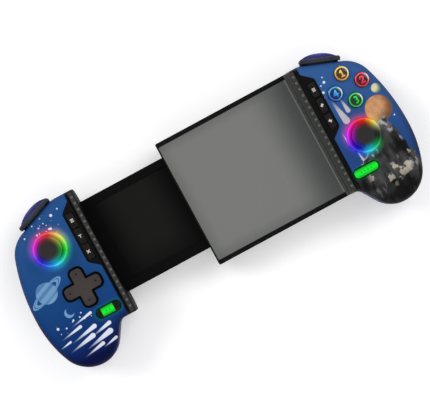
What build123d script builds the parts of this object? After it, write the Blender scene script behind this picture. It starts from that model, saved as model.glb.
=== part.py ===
from build123d import *
import os
from dataclasses import dataclass
from math import atan2, cos, degrees, hypot, radians, sin, sqrt

# Telescopic mobile game controller, lying on its back with its face up.
# Two hand grips carry the sticks, buttons and triggers, and a sliding bridge joins them.
# X runs from the left grip to the right grip, Y towards the triggers, Z out of the face.
# Both grips are drawn as right-hand ones; the left grip is mirrored across the YZ plane.
# All lengths are in millimetres.

# Overall sizes
outer_reach = 127.5
grip_width = 52.3
grip_half_height = 52.0
grip_thickness = 34.0
wall = 2.2
parting_height = 24.0
face_round = 6.5
back_round = 8.5

# Jaws that hold the device between the grips, and the bridge behind it
jaw_top_drop = 2.1
jaw_bottom_lift = 18.8
jaw_left_width = 4.2
jaw_right_width = 5.6
right_grip_trim = 6.8
jaw_rim = 1.2
jaw_lip = 1.4
pad_thickness = 1.2
nub_size = 1.6
nub_pitch = 4.1
nub_rise = 0.35
case_left = -13.9
case_base = 8.0
case_top = 20.6
case_floor = 2.2
case_end_wall = 3.0
case_rim = 2.9
case_side_rim = 1.0
case_end_rim = 1.7
cover_rim = 1.4
cover_slip = 0.1
bridge_screw_head = 1.9
bridge_screw_shank = 0.9
bridge_screw_length = 7.0
bridge_screw_row = 4.0
bridge_screw_count = 3
plate_thickness = 1.2
slider_bottom_margin = 12.1
slider_top_margin = 8.9
slider_overlap = 27.9
slider_thickness = 6.8
slider_rim_top = 5.0
slider_rim_bottom = 6.0
slider_rim_end = 7.0
slider_recess = 1.1
slider_hollow = 3.4
slider_rib = 1.6
slider_bays = 5
mouth_lip = 2.0
shoe_thickness = 1.1
shoe_length = 8.0
tongue_length = 15.5
tongue_low = -5.0
tongue_high = 25.0
tongue_thickness = 4.6

# Springs and ribbon cable inside the bridge
spool_radius = 3.2
spool_width = 8.0
spool_notch = 10.0
spool_low_y = -9.5
spool_high_y = 29.5
strip_thickness = 0.3
ribbon_width = 12.0
ribbon_thickness = 0.4

# Clearances between pieces
slip = 0.2
pin_slip = 0.05
key_gap = 0.3
button_gap = 0.25
overrun = 1.0

# Thumb sticks: centre heights, ranges and the ring of light round each one
stick_pivot_height = 24.0
ring_outer = 10.8
ring_inner = 9.15
ring_rise = 0.6
ring_flange = 12.2
ring_flange_thickness = 1.2
module_width = 14.0
module_wall = 1.2
module_top = 27.0
yoke_width = 10.4
yoke_window = 6.6
yoke_thickness = 2.8
pivot_width = 5.6
pivot_thickness = 2.6
trunnion_radius = 1.2
pivot_pin_radius = 0.9
stem_radius = 1.5
stem_top = 38.6
cap_radius = 7.8
cap_bottom = 40.0
cap_top = 43.5
cap_neck = 3.3
cap_neck_bottom = 30.5
cap_socket_spare = 0.8
cap_dish = 1.1
dome_radius = 10.8
dome_skin = 0.8
dome_spread = 42.0

# Direction pad on its cross-shaped pivot
pad_span = 23.6
pad_arm = 7.5
pad_end_round = 2.6
pad_edge = 0.9
pad_gap = 0.6
pad_rise = 2.2
pad_flange = 1.2
pad_flange_top = 30.8
pad_flange_thickness = 1.3
pad_pivot_height = 27.5
pad_pin_radius = 0.8
pad_pin_half_length = 4.4
pad_ear = 1.2
pad_ear_half_width = 1.7
pad_foot_radius = 1.5
pad_foot_reach = 8.0

# Face buttons
button_radius = 4.5
button_spread = 9.0
button_rise = 2.0
button_crown = 0.9
button_flange = 0.9
plunger_radius = 2.6
plunger_bottom = 24.0

# Function keys in their slanted plate, and the lit pill keys
key_offset = 3.8
key_width = 4.4
key_length = 9.4
key_rise = 0.9
key_skirt = 0.8
key_round = 0.9
key_pitch = 10.5
plate_offset = 0.3
plate_width = 6.8
plate_top_margin = 5.4
plate_high_slant = 5.9
plate_low_slant = 5.6
plate_length = 43.5
key_first = 11.7
plate_pocket = 1.2
plate_rise = 0.2
pill_left_offset = 9.8
pill_right_offset = 8.8
pill_length = 15.6
pill_width = 5.6
pill_lift = 8.8
pill_rise = 0.9
flange_thickness = 1.0

# Bumper and trigger on the sloping shoulder of each grip
slope_inset = 9.6
bumper_low = 23.4
bumper_high = 30.6
bumper_depth = 3.6
bumper_gap = 0.9
bumper_half = 12.4
tongue_half = 8.0
tongue_height = 2.4
tongue_reach = 4.4
catch_width = 1.2
catch_thickness = 1.1
trigger_half = 11.6
trigger_gap = 0.4
trigger_top = 21.4
trigger_tip = 3.6
trigger_swell = 7.6
trigger_inner = 4.4
trigger_pin_inset = 2.2
trigger_pin_height = 18.0
trigger_pin_radius = 1.0
well_depth = 6.2
well_wall = 1.4
well_top = 22.6

# Boards, rubber membranes, battery, charging socket and screws
board_bottom = 17.4
board_thickness = 1.6
board_inset = 0.5
board_lift = 3.2
membrane_thickness = 1.2
dome_rise = 2.2
dome_base_radius = 3.0
dome_tip_radius = 1.8
membrane_margin = 5.4
battery_outset = 12.5
battery_width = 17.0
battery_length = 20.5
battery_drop = 0.3
battery_thickness = 7.5
battery_round = 1.5
socket_width = 3.2
socket_height = 9.0
socket_depth = 7.3
socket_skin = 0.35
socket_tongue = 0.7
socket_offset = 2.5
socket_base = 9.5
screw_head_radius = 2.3
screw_head_height = 1.6
screw_shank_radius = 1.0
screw_length = 13.0
screw_recess = 2.6
screw_seat = 6.0
boss_radius = 3.6
boss_core_radius = 3.0
boss_meeting = 12.0
slot_width = 0.8
slot_depth = 0.7
slot_length_share = 0.62

# Outline of a grip from its shoulder round the palm end to the bridge corner: where one
# arc runs into the next, and the way the outline heads there, as shares of the grip's
# width, inwards from its outer edge, and of its half height.
outline_shares = (
    (0.124, 0.548, -0.3221, -0.9461),
    (0.000, -0.250, 0.0191, -0.9998),
    (0.109, -0.770, 0.3837, -0.9225),
    (0.499, -1.000, 0.9879, 0.1132),
    (0.727, -0.856, 0.5313, 0.8453),
)
slope_run_share = 0.47304
slope_drop_share = 0.18263
shoulder_blend = 2.2
heel_round = 6.8

# Profile of a grip seen from the side: where its flat face and back end, and how far
# the curves drop or rise at the palm end and at the trigger end, as shares.
face_flat_low_share = -0.58
face_drop_share = 0.22
back_flat_low_share = -0.65
back_flat_high_share = 0.42
back_rise_low_share = 0.16
back_rise_high_share = 0.35

# Cross-section of a trigger: how far out it stands, as shares of its swell, and how far
# down from its top edge, as shares of its height. The back's last two points stand
# inside the shoulder and take the trigger's inner reach instead.
trigger_front_shares = ((0.42, 0.00), (0.93, 0.28), (1.00, 0.62), (0.72, 1.00))
trigger_back_shares = ((0.45, 0.95), (0.52, 0.55), (0.20, 0.42))
trigger_root_share = 0.36
trigger_bow_share = 0.5

# Screw places: shares of the grip's width from the outer edge and of its half height
screw_shares = (
    (0.168, 0.270),
    (0.118, -0.300),
    (0.370, -0.850),
    (0.655, -0.700),
)

# Places of the controls: shares of the grip's width from the outer edge and of its half height
left_stick_shares = (0.54685, 0.45769)
right_stick_shares = (0.53537, -0.10577)
pad_shares = (0.67686, -0.10385)
button_shares = (0.42639, 0.47115)

shell_left_edge = outer_reach - grip_width
shell_right_edge = shell_left_edge + right_grip_trim
jaw_top = grip_half_height - jaw_top_drop
jaw_bottom = jaw_bottom_lift - grip_half_height
slope_start_x = shell_left_edge + slope_inset
slope_run = slope_run_share * grip_width
slope_drop = slope_drop_share * grip_half_height
slope_length = hypot(slope_run, slope_drop)
slope_degrees = degrees(atan2(slope_drop, slope_run))
plate_high_inner = jaw_top - plate_top_margin
plate_high_outer = plate_high_inner - plate_high_slant
plate_low_inner = plate_high_inner - plate_length
plate_low_outer = plate_low_inner + plate_low_slant
key_top_row = plate_high_inner - key_first
key_rows = (key_top_row, key_top_row - key_pitch, key_top_row - key_pitch * 2)
pill_height_y = jaw_bottom + pill_lift
board_low = jaw_bottom + board_lift
battery_right = outer_reach - battery_outset
battery_left = battery_right - battery_width
battery_low = jaw_bottom - battery_drop
battery_high = battery_low + battery_length
slider_bottom = jaw_bottom + slider_bottom_margin
slider_top = jaw_top - slider_top_margin
front_inner = grip_thickness - wall
board_top = board_bottom + board_thickness
slider_base = case_base + case_floor + slip
slider_height = slider_base + slider_thickness
channel_top = slider_height + slip
plate_top = case_top + plate_thickness


@dataclass(frozen=True)
class Side:
    """Where the two grips differ: the mirror, and the places along X and Y."""

    name: str
    mirrored: bool
    shell_edge: float
    jaw_face: float
    stick_x: float
    stick_y: float
    pill_offset: float


def grip_place(shares):
    """X and Y of a place given as shares of a grip's width and half height."""
    return outer_reach - shares[0] * grip_width, shares[1] * grip_half_height


left_stick = grip_place(left_stick_shares)
right_stick = grip_place(right_stick_shares)
left_jaw_face = shell_left_edge - jaw_left_width
right_jaw_face = shell_right_edge - jaw_right_width
left = Side("left", True, shell_left_edge, left_jaw_face, *left_stick, pill_left_offset)
right = Side("right", False, shell_right_edge, right_jaw_face, *right_stick, pill_right_offset)
pad_x, pad_y = grip_place(pad_shares)
buttons_x, buttons_y = grip_place(button_shares)
slider_length = left.jaw_face + case_left + slider_overlap


def block(x_low, x_high, y_low, y_high, z_low, z_high):
    """A box between two corners."""
    centre = Pos((x_low + x_high) / 2, (y_low + y_high) / 2, (z_low + z_high) / 2)
    return centre * Box(x_high - x_low, y_high - y_low, z_high - z_low)


def post(radius, x, y, z_low, z_high):
    """An upright cylinder."""
    return Pos(x, y, (z_low + z_high) / 2) * Cylinder(radius, z_high - z_low)


def bar_x(radius, x_low, x_high, y, z):
    """A round bar along X."""
    return Pos((x_low + x_high) / 2, y, z) * Rot(0, 90, 0) * Cylinder(radius, x_high - x_low)


def bar_y(radius, x, y_low, y_high, z):
    """A round bar along Y."""
    return Pos(x, (y_low + y_high) / 2, z) * Rot(90, 0, 0) * Cylinder(radius, y_high - y_low)


def raised(sketch, z_low, z_high):
    """A flat sketch made solid between two heights."""
    return Pos(0, 0, z_low) * extrude(sketch, amount=z_high - z_low)


def save(name, *solids):
    """Write one node: one solid, or a group of separate ones."""
    shape = solids[0] if len(solids) == 1 else Compound(children=list(solids))
    export_step(shape, os.path.join("parts", name + ".step"))


def placed(side, shape):
    """Turn a right-hand shape into the side's own."""
    return mirror(shape, about=Plane.YZ) if side.mirrored else shape


def save_side(side, name, *shapes):
    """Write a piece of one grip in its true place."""
    solids = []
    for shape in shapes:
        solids.extend(placed(side, shape).solids())
    save(name, *solids)


def joined_arcs(start, heading, end, onward):
    """Two arcs from one point and heading to another, smooth where they meet."""
    run = end - start
    both = run.dot(heading + onward)
    turn = 2 * (1 - heading.dot(onward))
    reach = (sqrt(both * both + turn * run.dot(run)) - both) / turn
    meeting = (start + end + (heading - onward) * reach) / 2
    first = TangentArc(start, meeting, tangent=heading)
    return first, TangentArc(meeting, end, tangent=first % 1)


def grip_plan(inner_edge):
    """Plan outline of a grip, with its straight inner edge at the given X."""
    corner = Vector(slope_start_x, jaw_top)
    along = Vector(cos(radians(slope_degrees)), -sin(radians(slope_degrees)))
    before = corner - Vector(shoulder_blend, 0)
    after = corner + along * shoulder_blend
    contour = [TangentArc(before, after, tangent=(1, 0))]
    shoulder = corner + along * slope_length
    contour.append(Line(after, shoulder))
    last, heading = shoulder, along
    for x_share, y_share, inward_share, up_share in outline_shares:
        point = Vector(outer_reach - x_share * grip_width, y_share * grip_half_height)
        onward = Vector(-inward_share * grip_width, up_share * grip_half_height).normalized()
        arcs = joined_arcs(last, heading, point, onward)
        contour.extend(arcs)
        last, heading = point, arcs[1] % 1
    arc_rise = heel_round * (1 + heading.X)
    straight = (jaw_bottom - last.Y - arc_rise) / heading.Y
    bend = last + heading * straight
    heel = Vector(bend.X - heel_round * heading.Y, jaw_bottom)
    contour.append(Line(last, bend))
    contour.append(TangentArc(bend, heel, tangent=heading))
    reach = min(inner_edge, heel.X) - overrun
    contour.append(Line(heel, (reach, jaw_bottom)))
    contour.append(Line((reach, jaw_bottom), (reach, jaw_top)))
    contour.append(Line((reach, jaw_top), before))
    outline = make_face(Wire(contour))
    beyond = outer_reach - inner_edge + overrun
    window = Pos(inner_edge + beyond / 2, 0) * Rectangle(beyond, (grip_half_height + overrun) * 2)
    return outline & window


def grip_profile(inset):
    """Side profile of a grip in the YZ plane, drawn in from the outside by the inset."""
    far_low = -grip_half_height - overrun
    far_high = grip_half_height + overrun
    face = grip_thickness - inset
    face_low = face_flat_low_share * grip_half_height
    back_low = back_flat_low_share * grip_half_height
    back_high = back_flat_high_share * grip_half_height
    face_end = face - face_drop_share * grip_thickness
    low_end = inset + back_rise_low_share * grip_thickness
    high_end = inset + back_rise_high_share * grip_thickness
    contour = [
        Line((far_high, face), (face_low, face)),
        TangentArc((face_low, face), (far_low, face_end), tangent=(-1, 0)),
        Line((far_low, face_end), (far_low, low_end)),
        TangentArc((back_low, inset), (far_low, low_end), tangent=(-1, 0)),
        Line((back_low, inset), (back_high, inset)),
        TangentArc((back_high, inset), (far_high, high_end), tangent=(1, 0)),
        Line((far_high, high_end), (far_high, face)),
    ]
    return make_face(Wire(contour))


def rim_edges(body, inner_edge, inset, low, high):
    """Edges round the outline of a body between two heights, without the seams across it."""
    end_lines = (jaw_top - inset, jaw_bottom + inset)
    rims = []
    for edge in body.edges():
        box = edge.bounding_box()
        inside = box.min.Z > low and box.max.Z < high
        on_inner_face = box.max.X < inner_edge + inset + slip
        across = edge.geom_type == GeomType.LINE and box.size.Y < slip
        at_an_end = min(abs(box.min.Y - line) for line in end_lines) < slip
        if inside and not on_inner_face and (at_an_end or not across):
            rims.append(edge)
    return rims


def grip_body(inner_edge, inset):
    """The rounded body of a grip, or of its hollow when drawn in by the wall."""
    plan = grip_plan(inner_edge)
    if inset:
        plan = offset(plan, -inset, kind=Kind.ARC)
    prism = extrude(plan, amount=grip_thickness)
    side_face = Plane.YZ.offset(inner_edge - overrun) * grip_profile(inset)
    body = prism & extrude(side_face, amount=outer_reach - inner_edge + overrun * 2)
    above, below = grip_thickness + overrun, parting_height / 2 + wall
    body = fillet(rim_edges(body, inner_edge, inset, parting_height, above), face_round - inset)
    return fillet(rim_edges(body, inner_edge, inset, -overrun, below), back_round - inset)


def beyond(x_low):
    """Everything outboard of the given X."""
    reach = grip_half_height + overrun
    return block(x_low, outer_reach + overrun, -reach, reach, -overrun, grip_thickness + overrun)


def layer(z_low, z_high):
    """Everything between two heights round one grip."""
    reach = grip_half_height + overrun
    return block(0, outer_reach + overrun, -reach, reach, z_low, z_high)


def shoulder_frame():
    """Frame on the middle of the sloping shoulder: X along it, Y straight out of it."""
    angle = radians(slope_degrees)
    half = slope_length / 2
    x = slope_start_x + cos(angle) * half
    y = jaw_top - sin(angle) * half
    return Pos(x, y, 0) * Rot(0, 0, -slope_degrees)


def cross(span, arm, rounding):
    """The plus shape of the direction pad."""
    bars = Rectangle(span, arm) + Rectangle(arm, span)
    ends = [v for v in bars.vertices() if max(abs(v.X), abs(v.Y)) > span / 2 - slip]
    return fillet(ends, rounding)


def key_plate_sketch(side, grow):
    """Slanted plate that frames the three function keys."""
    inner = side.shell_edge + plate_offset - grow
    outer = inner + plate_width + grow * 2
    return make_face(
        Polyline(
            (inner, plate_high_inner + grow),
            (outer, plate_high_outer + grow),
            (outer, plate_low_outer - grow),
            (inner, plate_low_inner - grow),
            close=True,
        )
    )


def key_places(side):
    """Centres of the three function keys."""
    return [(side.shell_edge + key_offset, row) for row in key_rows]


def pill_place(side):
    """Centre of the lit pill key."""
    return (side.shell_edge + side.pill_offset, pill_height_y)


def button_places():
    """Centres of the four face buttons, clockwise from the top."""
    return {
        "top": (buttons_x, buttons_y + button_spread),
        "right": (buttons_x + button_spread, buttons_y),
        "bottom": (buttons_x, buttons_y - button_spread),
        "left": (buttons_x - button_spread, buttons_y),
    }


def screw_places():
    """Places of the case screws of one grip."""
    places = []
    for x_share, y_share in screw_shares:
        places.append((outer_reach - x_share * grip_width, y_share * grip_half_height))
    return places


def frame_screw_places(side):
    """Places of the two screws that hold the bridge's tongue in a grip."""
    x = side.shell_edge + wall + boss_radius + slip
    inset = boss_radius + slip
    return [(x, tongue_low + inset), (x, tongue_high - inset)]


def rounded_key(x, y, width, length, rounding, z_low, z_high):
    """A key's upright block with rounded corners."""
    return raised(Pos(x, y) * RectangleRounded(width, length, rounding), z_low, z_high)


def pill_sketch(side, grow):
    """Outline of the pill key, or of its hole when grown by a gap."""
    x, y = pill_place(side)
    return Pos(x, y) * SlotOverall(pill_length + grow * 2, pill_width + grow * 2)


def front_openings(side):
    """All that is cut through the face of a grip."""
    low, high = front_inner - overrun - slip, grip_thickness + overrun
    cuts = post(ring_outer + slip / 2, side.stick_x, side.stick_y, low, high)
    pocket = grip_thickness - plate_pocket
    cuts += raised(key_plate_sketch(side, pin_slip), pocket, high)
    for x, y in key_places(side):
        width, length = key_width + key_gap * 2, key_length + key_gap * 2
        cuts += rounded_key(x, y, width, length, key_round, low, high)
    cuts += raised(pill_sketch(side, key_gap), low, high)
    if side.mirrored:
        hole = cross(pad_span + pad_gap * 2, pad_arm + pad_gap * 2, pad_end_round)
        cuts += raised(Pos(pad_x, pad_y) * hole, low, high)
    else:
        skirt = button_radius + key_skirt + key_gap
        skirt_low = front_inner - key_gap - button_flange - button_radius
        for x, y in button_places().values():
            cuts += post(button_radius + button_gap, x, y, low, high)
            cuts += post(skirt, x, y, skirt_low, front_inner)
    return cuts


def bumper_window():
    """Slot in the shoulder wall for the bumper's tongue."""
    low = (bumper_low + bumper_high - tongue_height) / 2 - key_gap
    high = low + tongue_height + key_gap * 2
    reach = wall + overrun
    half = tongue_half + key_gap
    return shoulder_frame() * block(-half, half, -reach, overrun, low, high)


def trigger_well():
    """Space in the back shell that the trigger swings in."""
    half = trigger_half + trigger_gap
    reach = grip_half_height
    return shoulder_frame() * block(-half, half, -well_depth, reach, -overrun, well_top)


def well_lining():
    """Walls round the trigger's space, which also carry its pin."""
    half = trigger_half + trigger_gap + well_wall
    depth = well_depth + well_wall
    return shoulder_frame() * block(-half, half, -depth, depth, 0, well_top)


def front_shell(side):
    """Face half of a grip's housing."""
    outer = grip_body(side.jaw_face, 0)
    hollow = grip_body(side.jaw_face, wall) & beyond(side.shell_edge + wall)
    bosses = Part()
    for x, y in screw_places():
        bosses += post(boss_radius, x, y, board_top, grip_thickness)
        bosses += post(boss_core_radius, x, y, boss_meeting, grip_thickness)
    bosses = bosses & grip_body(side.jaw_face, wall / 2)
    shell = (outer - hollow) & beyond(side.shell_edge)
    shell = shell & layer(parting_height, grip_thickness + overrun)
    shell = shell + bosses
    for x, y in screw_places():
        thread = screw_seat + screw_length - screw_head_height
        shell -= post(screw_shank_radius + pin_slip, x, y, 0, thread + overrun)
    shell -= front_openings(side)
    return shell - bumper_window()


def back_shell(side):
    """Back half of a grip's housing, with the trigger's well and the screw posts."""
    outer = grip_body(side.jaw_face, 0)
    hollow = grip_body(side.jaw_face, wall) & beyond(side.shell_edge + wall)
    shell = (outer - hollow) & beyond(side.shell_edge)
    solid_inside = outer & beyond(side.shell_edge)
    shell += well_lining() & solid_inside
    for x, y in screw_places():
        shell += post(boss_radius, x, y, 0, boss_meeting) & solid_inside
    base = tongue_base(side)
    for x, y in frame_screw_places(side):
        shell += post(boss_core_radius, x, y, wall / 2, base)
        shell -= post(screw_shank_radius + pin_slip, x, y, wall, base + overrun)
    for x, y in screw_places():
        shell -= post(screw_recess, x, y, -overrun, screw_seat)
        shell -= post(screw_shank_radius + slip, x, y, 0, boss_meeting + overrun)
    shell -= trigger_well()
    shell -= shoulder_frame() * trigger_pin(trigger_pin_radius + pin_slip)
    shell -= tongue(side, slip)
    return shell & layer(-overrun, parting_height)


def tongue_base(side):
    """Height of the underside of the bridge's tongue in a grip."""
    return slider_base if side.mirrored else case_base + slip


def tongue(side, grow):
    """Flat tongue of the bridge that reaches into a grip."""
    base = tongue_base(side)
    start = side.jaw_face - slip - grow
    end = side.jaw_face + tongue_length + grow
    low, high = tongue_low - grow, tongue_high + grow
    return block(start, end, low, high, base - grow, base + tongue_thickness + grow)


def trigger_pin(radius):
    """The trigger's hinge pin, in the shoulder's frame."""
    half = trigger_half + trigger_gap + well_wall / 2
    return bar_x(radius, -half, half, -trigger_pin_inset, trigger_pin_height)


def jaw(side):
    """Upright wall that closes the inner side of a grip and grips the device."""
    reach = grip_half_height + overrun
    span = block(side.jaw_face, side.shell_edge, -reach, reach, -overrun, grip_thickness)
    body = grip_body(side.jaw_face, 0) & span
    body -= jaw_pad_solid(side, pin_slip)
    body -= tongue(side, slip)
    if not side.mirrored:
        body -= socket_space(0)
    return body


def jaw_pad_solid(side, grow):
    """Rubber pad over the jaw's top and inner face, without its nubs."""
    outer = side.shell_edge - jaw_rim + grow
    inner = side.jaw_face
    low = plate_top + jaw_lip - grow
    top = grip_thickness
    end = jaw_rim - grow
    y_low, y_high = jaw_bottom + end, jaw_top - end
    flange = block(inner - grow, outer, y_low, y_high, top - pad_thickness - grow, top)
    leg = block(inner - grow, inner + pad_thickness + grow, y_low, y_high, low, top)
    return flange + leg


def jaw_pad(side):
    """Rubber pad with a row of square nubs along its top."""
    pad = jaw_pad_solid(side, 0)
    middle = (side.jaw_face + side.shell_edge - jaw_rim) / 2
    count = int((jaw_top - jaw_bottom - jaw_rim * 2) / nub_pitch)
    start = (jaw_top + jaw_bottom - (count - 1) * nub_pitch) / 2
    half = nub_size / 2
    for index in range(count):
        y = start + index * nub_pitch
        low, high = grip_thickness - pin_slip, grip_thickness + nub_rise
        pad += block(middle - half, middle + half, y - half, y + half, low, high)
    return pad


def light_ring(side):
    """Clear ring of light round a stick, held under the face by its flange."""
    x, y = side.stick_x, side.stick_y
    flange_top = front_inner - pin_slip
    flange_base = flange_top - ring_flange_thickness
    ring = post(ring_outer, x, y, flange_base, grip_thickness + ring_rise)
    ring += post(ring_flange, x, y, flange_base, flange_top)
    ring -= post(ring_inner, x, y, flange_base - overrun, grip_thickness + overrun)
    rims = [e for e in ring.edges() if e.bounding_box().min.Z > grip_thickness + slip]
    return chamfer(rims, slip)


def stick_module(side):
    """Open box on the board that carries the stick's two crossed pivots."""
    x, y = side.stick_x, side.stick_y
    half = module_width / 2
    room = half - module_wall
    body = block(x - half, x + half, y - half, y + half, board_top, module_top)
    floor = board_top + module_wall / 2
    body -= block(x - room, x + room, y - room, y + room, floor, module_top + overrun)
    hole = trunnion_radius + pin_slip
    z = stick_pivot_height
    return body - bar_x(hole, x - half - overrun, x + half + overrun, y, z)


def stick_yoke(side):
    """Rocking frame of a stick, on trunnions along X."""
    x, y, z = side.stick_x, side.stick_y, stick_pivot_height
    half, window = yoke_width / 2, yoke_window / 2
    low, high = z - yoke_thickness / 2, z + yoke_thickness / 2
    frame = block(x - half, x + half, y - half, y + half, low, high)
    end = module_width / 2 - slip
    frame += bar_x(trunnion_radius, x - end, x + end, y, z)
    frame -= block(x - window, x + window, y - window, y + window, low, high)
    hole = pivot_pin_radius + pin_slip
    return frame - bar_y(hole, x, y - half - overrun, y + half + overrun, z)


def stick_pivot(side):
    """Small block with a stem, pinned in the yoke along Y."""
    x, y, z = side.stick_x, side.stick_y, stick_pivot_height
    half = pivot_width / 2
    low, high = z - pivot_thickness / 2, z + pivot_thickness / 2
    body = block(x - half, x + half, y - half, y + half, low, high)
    end = yoke_width / 2 - slip
    body += bar_y(pivot_pin_radius, x, y - end, y + end, z)
    return body + post(stem_radius, x, y, z, stem_top)


def stick_cap(side):
    """Thumb cap of a stick: dished head, neck and the dome that hides the works."""
    x, y = side.stick_x, side.stick_y
    head = post(cap_radius, x, y, cap_bottom, cap_top)
    head = fillet(head.edges(), (cap_top - cap_bottom) / 2 - slip)
    dish_radius = (cap_radius * cap_radius / cap_dish + cap_dish) / 2
    head -= Pos(x, y, cap_top - cap_dish + dish_radius) * Sphere(dish_radius)
    head += post(cap_neck, x, y, cap_neck_bottom, cap_bottom + cap_dish)
    z = stick_pivot_height
    dome = Pos(x, y, z) * Sphere(dome_radius)
    dome -= Pos(x, y, z) * Sphere(dome_radius - dome_skin)
    spread = radians(dome_spread)
    rim = z + dome_radius * cos(spread)
    reach = dome_radius + overrun
    dome &= block(x - reach, x + reach, y - reach, y + reach, rim, z + reach)
    bore_top = stem_top + cap_socket_spare
    bore = post(stem_radius + pin_slip, x, y, cap_neck_bottom - overrun, bore_top)
    return head + dome - bore


def pad_cap():
    """Cross-shaped cap of the direction pad with its dished middle, flange, ears and feet."""
    base = pad_flange_top - pad_flange_thickness
    top = grip_thickness + pad_rise
    cap = raised(cross(pad_span, pad_arm, pad_end_round), base, top)
    rims = [e for e in cap.edges() if e.bounding_box().min.Z > top - slip]
    cap = fillet(rims, pad_edge)
    grow = pad_flange * 2
    cap += raised(cross(pad_span + grow, pad_arm + grow, pad_end_round), base, pad_flange_top)
    dish_radius = (pad_span * pad_span / 4 / pad_rise + pad_rise) / 2
    cap -= Pos(0, 0, top - pad_edge + dish_radius) * Sphere(dish_radius)
    z = pad_pivot_height
    inner, outer = pad_pin_half_length - pad_ear, pad_pin_half_length
    ear_low = z - pad_pin_radius - pad_ear / 2
    half = pad_ear_half_width
    for low, high in ((-outer, -inner), (inner, outer)):
        cap += block(-half, half, low, high, ear_low, base + pin_slip)
    cap -= bar_y(pad_pin_radius + pin_slip, 0, -outer - overrun, outer + overrun, z)
    for dx, dy in ((1, 0), (-1, 0), (0, 1), (0, -1)):
        foot_x, foot_y = dx * pad_foot_reach, dy * pad_foot_reach
        cap += post(pad_foot_radius, foot_x, foot_y, plunger_bottom, base + pin_slip)
    return Pos(pad_x, pad_y, 0) * cap


def pad_pivot():
    """Cross-shaped pin that lets the direction pad rock both ways."""
    z, end = pad_pivot_height, pad_pin_half_length - pin_slip
    hub = Pos(0, 0, z) * Sphere(pad_pin_radius * 2)
    hub += bar_x(pad_pin_radius, -end, end, 0, z)
    hub += bar_y(pad_pin_radius, 0, -end, end, z)
    return Pos(pad_x, pad_y, 0) * hub


def pad_bracket():
    """Fork on the board that carries the direction pad's pivot."""
    z = pad_pivot_height
    inner, outer = pad_pin_half_length - pad_ear, pad_pin_half_length
    half = pad_ear_half_width
    top = z + pad_pin_radius + pad_ear / 3
    base_top = board_top + membrane_thickness
    fork = block(-outer, outer, -half, half, board_top, base_top)
    for low, high in ((-outer, -inner), (inner, outer)):
        fork += block(low, high, -half, half, board_top, top)
    fork -= bar_x(pad_pin_radius + pin_slip, -outer - overrun, outer + overrun, 0, z)
    return Pos(pad_x, pad_y, 0) * fork


def face_button(x, y):
    """Domed round button with its flange and plunger."""
    top = grip_thickness + button_rise
    flange_top = front_inner - key_gap
    flange_base = flange_top - button_flange
    crown_radius = (button_radius * button_radius / button_crown + button_crown) / 2
    button = post(button_radius, x, y, flange_base, top)
    button &= Pos(x, y, top - crown_radius) * Sphere(crown_radius)
    button += post(button_radius + key_skirt, x, y, flange_base, flange_top)
    return button + post(plunger_radius, x, y, plunger_bottom, flange_base)


def function_key(side, x, y):
    """Small oblong key with its skirt and plunger."""
    top = grip_thickness + key_rise
    skirt_top = front_inner - key_gap
    skirt_base = skirt_top - flange_thickness
    key = rounded_key(x, y, key_width, key_length, key_round, skirt_base, top)
    rims = [e for e in key.edges() if e.bounding_box().min.Z > top - slip]
    key = fillet(rims, key_round / 2)
    inner = side.shell_edge + wall + key_gap
    outer = x + key_width / 2
    half = key_length / 2
    clear = block(0, inner, y - half - overrun, y + half + overrun, 0, skirt_top)
    key -= clear
    key += block(outer - key_round, outer + key_skirt / 2, y - half, y + half, skirt_base, skirt_top)
    stem = max(x, inner + dome_tip_radius)
    return key + post(dome_tip_radius, stem, y, plunger_bottom, skirt_base)


def pill_key(side):
    """Lit pill-shaped key."""
    x, y = pill_place(side)
    top = grip_thickness + pill_rise
    skirt_top = front_inner - key_gap
    skirt_base = skirt_top - flange_thickness
    key = raised(pill_sketch(side, 0), skirt_base, top)
    rims = [e for e in key.edges() if e.bounding_box().min.Z > top - slip]
    key = fillet(rims, key_round / 2)
    inner = side.shell_edge + wall + key_gap
    key -= block(0, inner, y - pill_width, y + pill_width, 0, skirt_top)
    half = pill_length / 4
    wide = pill_width / 2 + key_skirt
    key += block(x - half, x + half, y - wide, y + wide, skirt_base, skirt_top)
    return key + post(dome_tip_radius, x, y, plunger_bottom, skirt_base)


def bumper():
    """Bumper along the shoulder, with the tongue and catch that guide it."""
    half = bumper_half
    body = block(-half, half, bumper_gap, bumper_depth, bumper_low, bumper_high)
    outer_rims = [e for e in body.edges() if e.center().Y > bumper_depth - slip]
    body = fillet(outer_rims, (bumper_depth - bumper_gap) / 2)
    low = (bumper_low + bumper_high - tongue_height) / 2
    high = low + tongue_height
    tongue_solid = block(-tongue_half, tongue_half, -tongue_reach, bumper_gap + slip, low, high)
    catch_half = tongue_half + catch_width
    near = -tongue_reach + catch_thickness
    catch = block(-catch_half, catch_half, -tongue_reach, near, low - catch_width, high)
    return shoulder_frame() * (body + tongue_solid + catch)


def trigger_profile():
    """Cross-section of the trigger blade in the shoulder's frame: depth against height."""
    height = trigger_top - trigger_tip
    front = [(trigger_swell * out, trigger_top - height * drop) for out, drop in trigger_front_shares]
    back = [front[-1]]
    for out, drop in trigger_back_shares:
        back.append((trigger_swell * out, trigger_top - height * drop))
    back.append((-trigger_inner, trigger_top - height * trigger_root_share))
    back.append((-trigger_inner, trigger_top))
    back.append(front[0])
    return make_face(Wire([Spline(*front), *Polyline(*back).edges()]))


def trigger():
    """Curved trigger on its hinge pin."""
    profile = Plane.YZ.offset(-trigger_half) * trigger_profile()
    blade = extrude(profile, amount=trigger_half * 2)
    bow = trigger_swell * trigger_bow_share
    bow_radius = (trigger_half * trigger_half / bow + bow) / 2
    blade &= post(bow_radius, 0, trigger_swell - bow_radius, 0, grip_thickness)
    blade -= trigger_pin(trigger_pin_radius + pin_slip)
    return shoulder_frame() * blade


def slot_head(x, y, base):
    """Screw with its head upwards or downwards, from the underside of the head."""
    shank = post(screw_shank_radius, x, y, base, base + screw_length - screw_head_height)
    return shank + post(screw_head_radius, x, y, base - screw_head_height, base)


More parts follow.
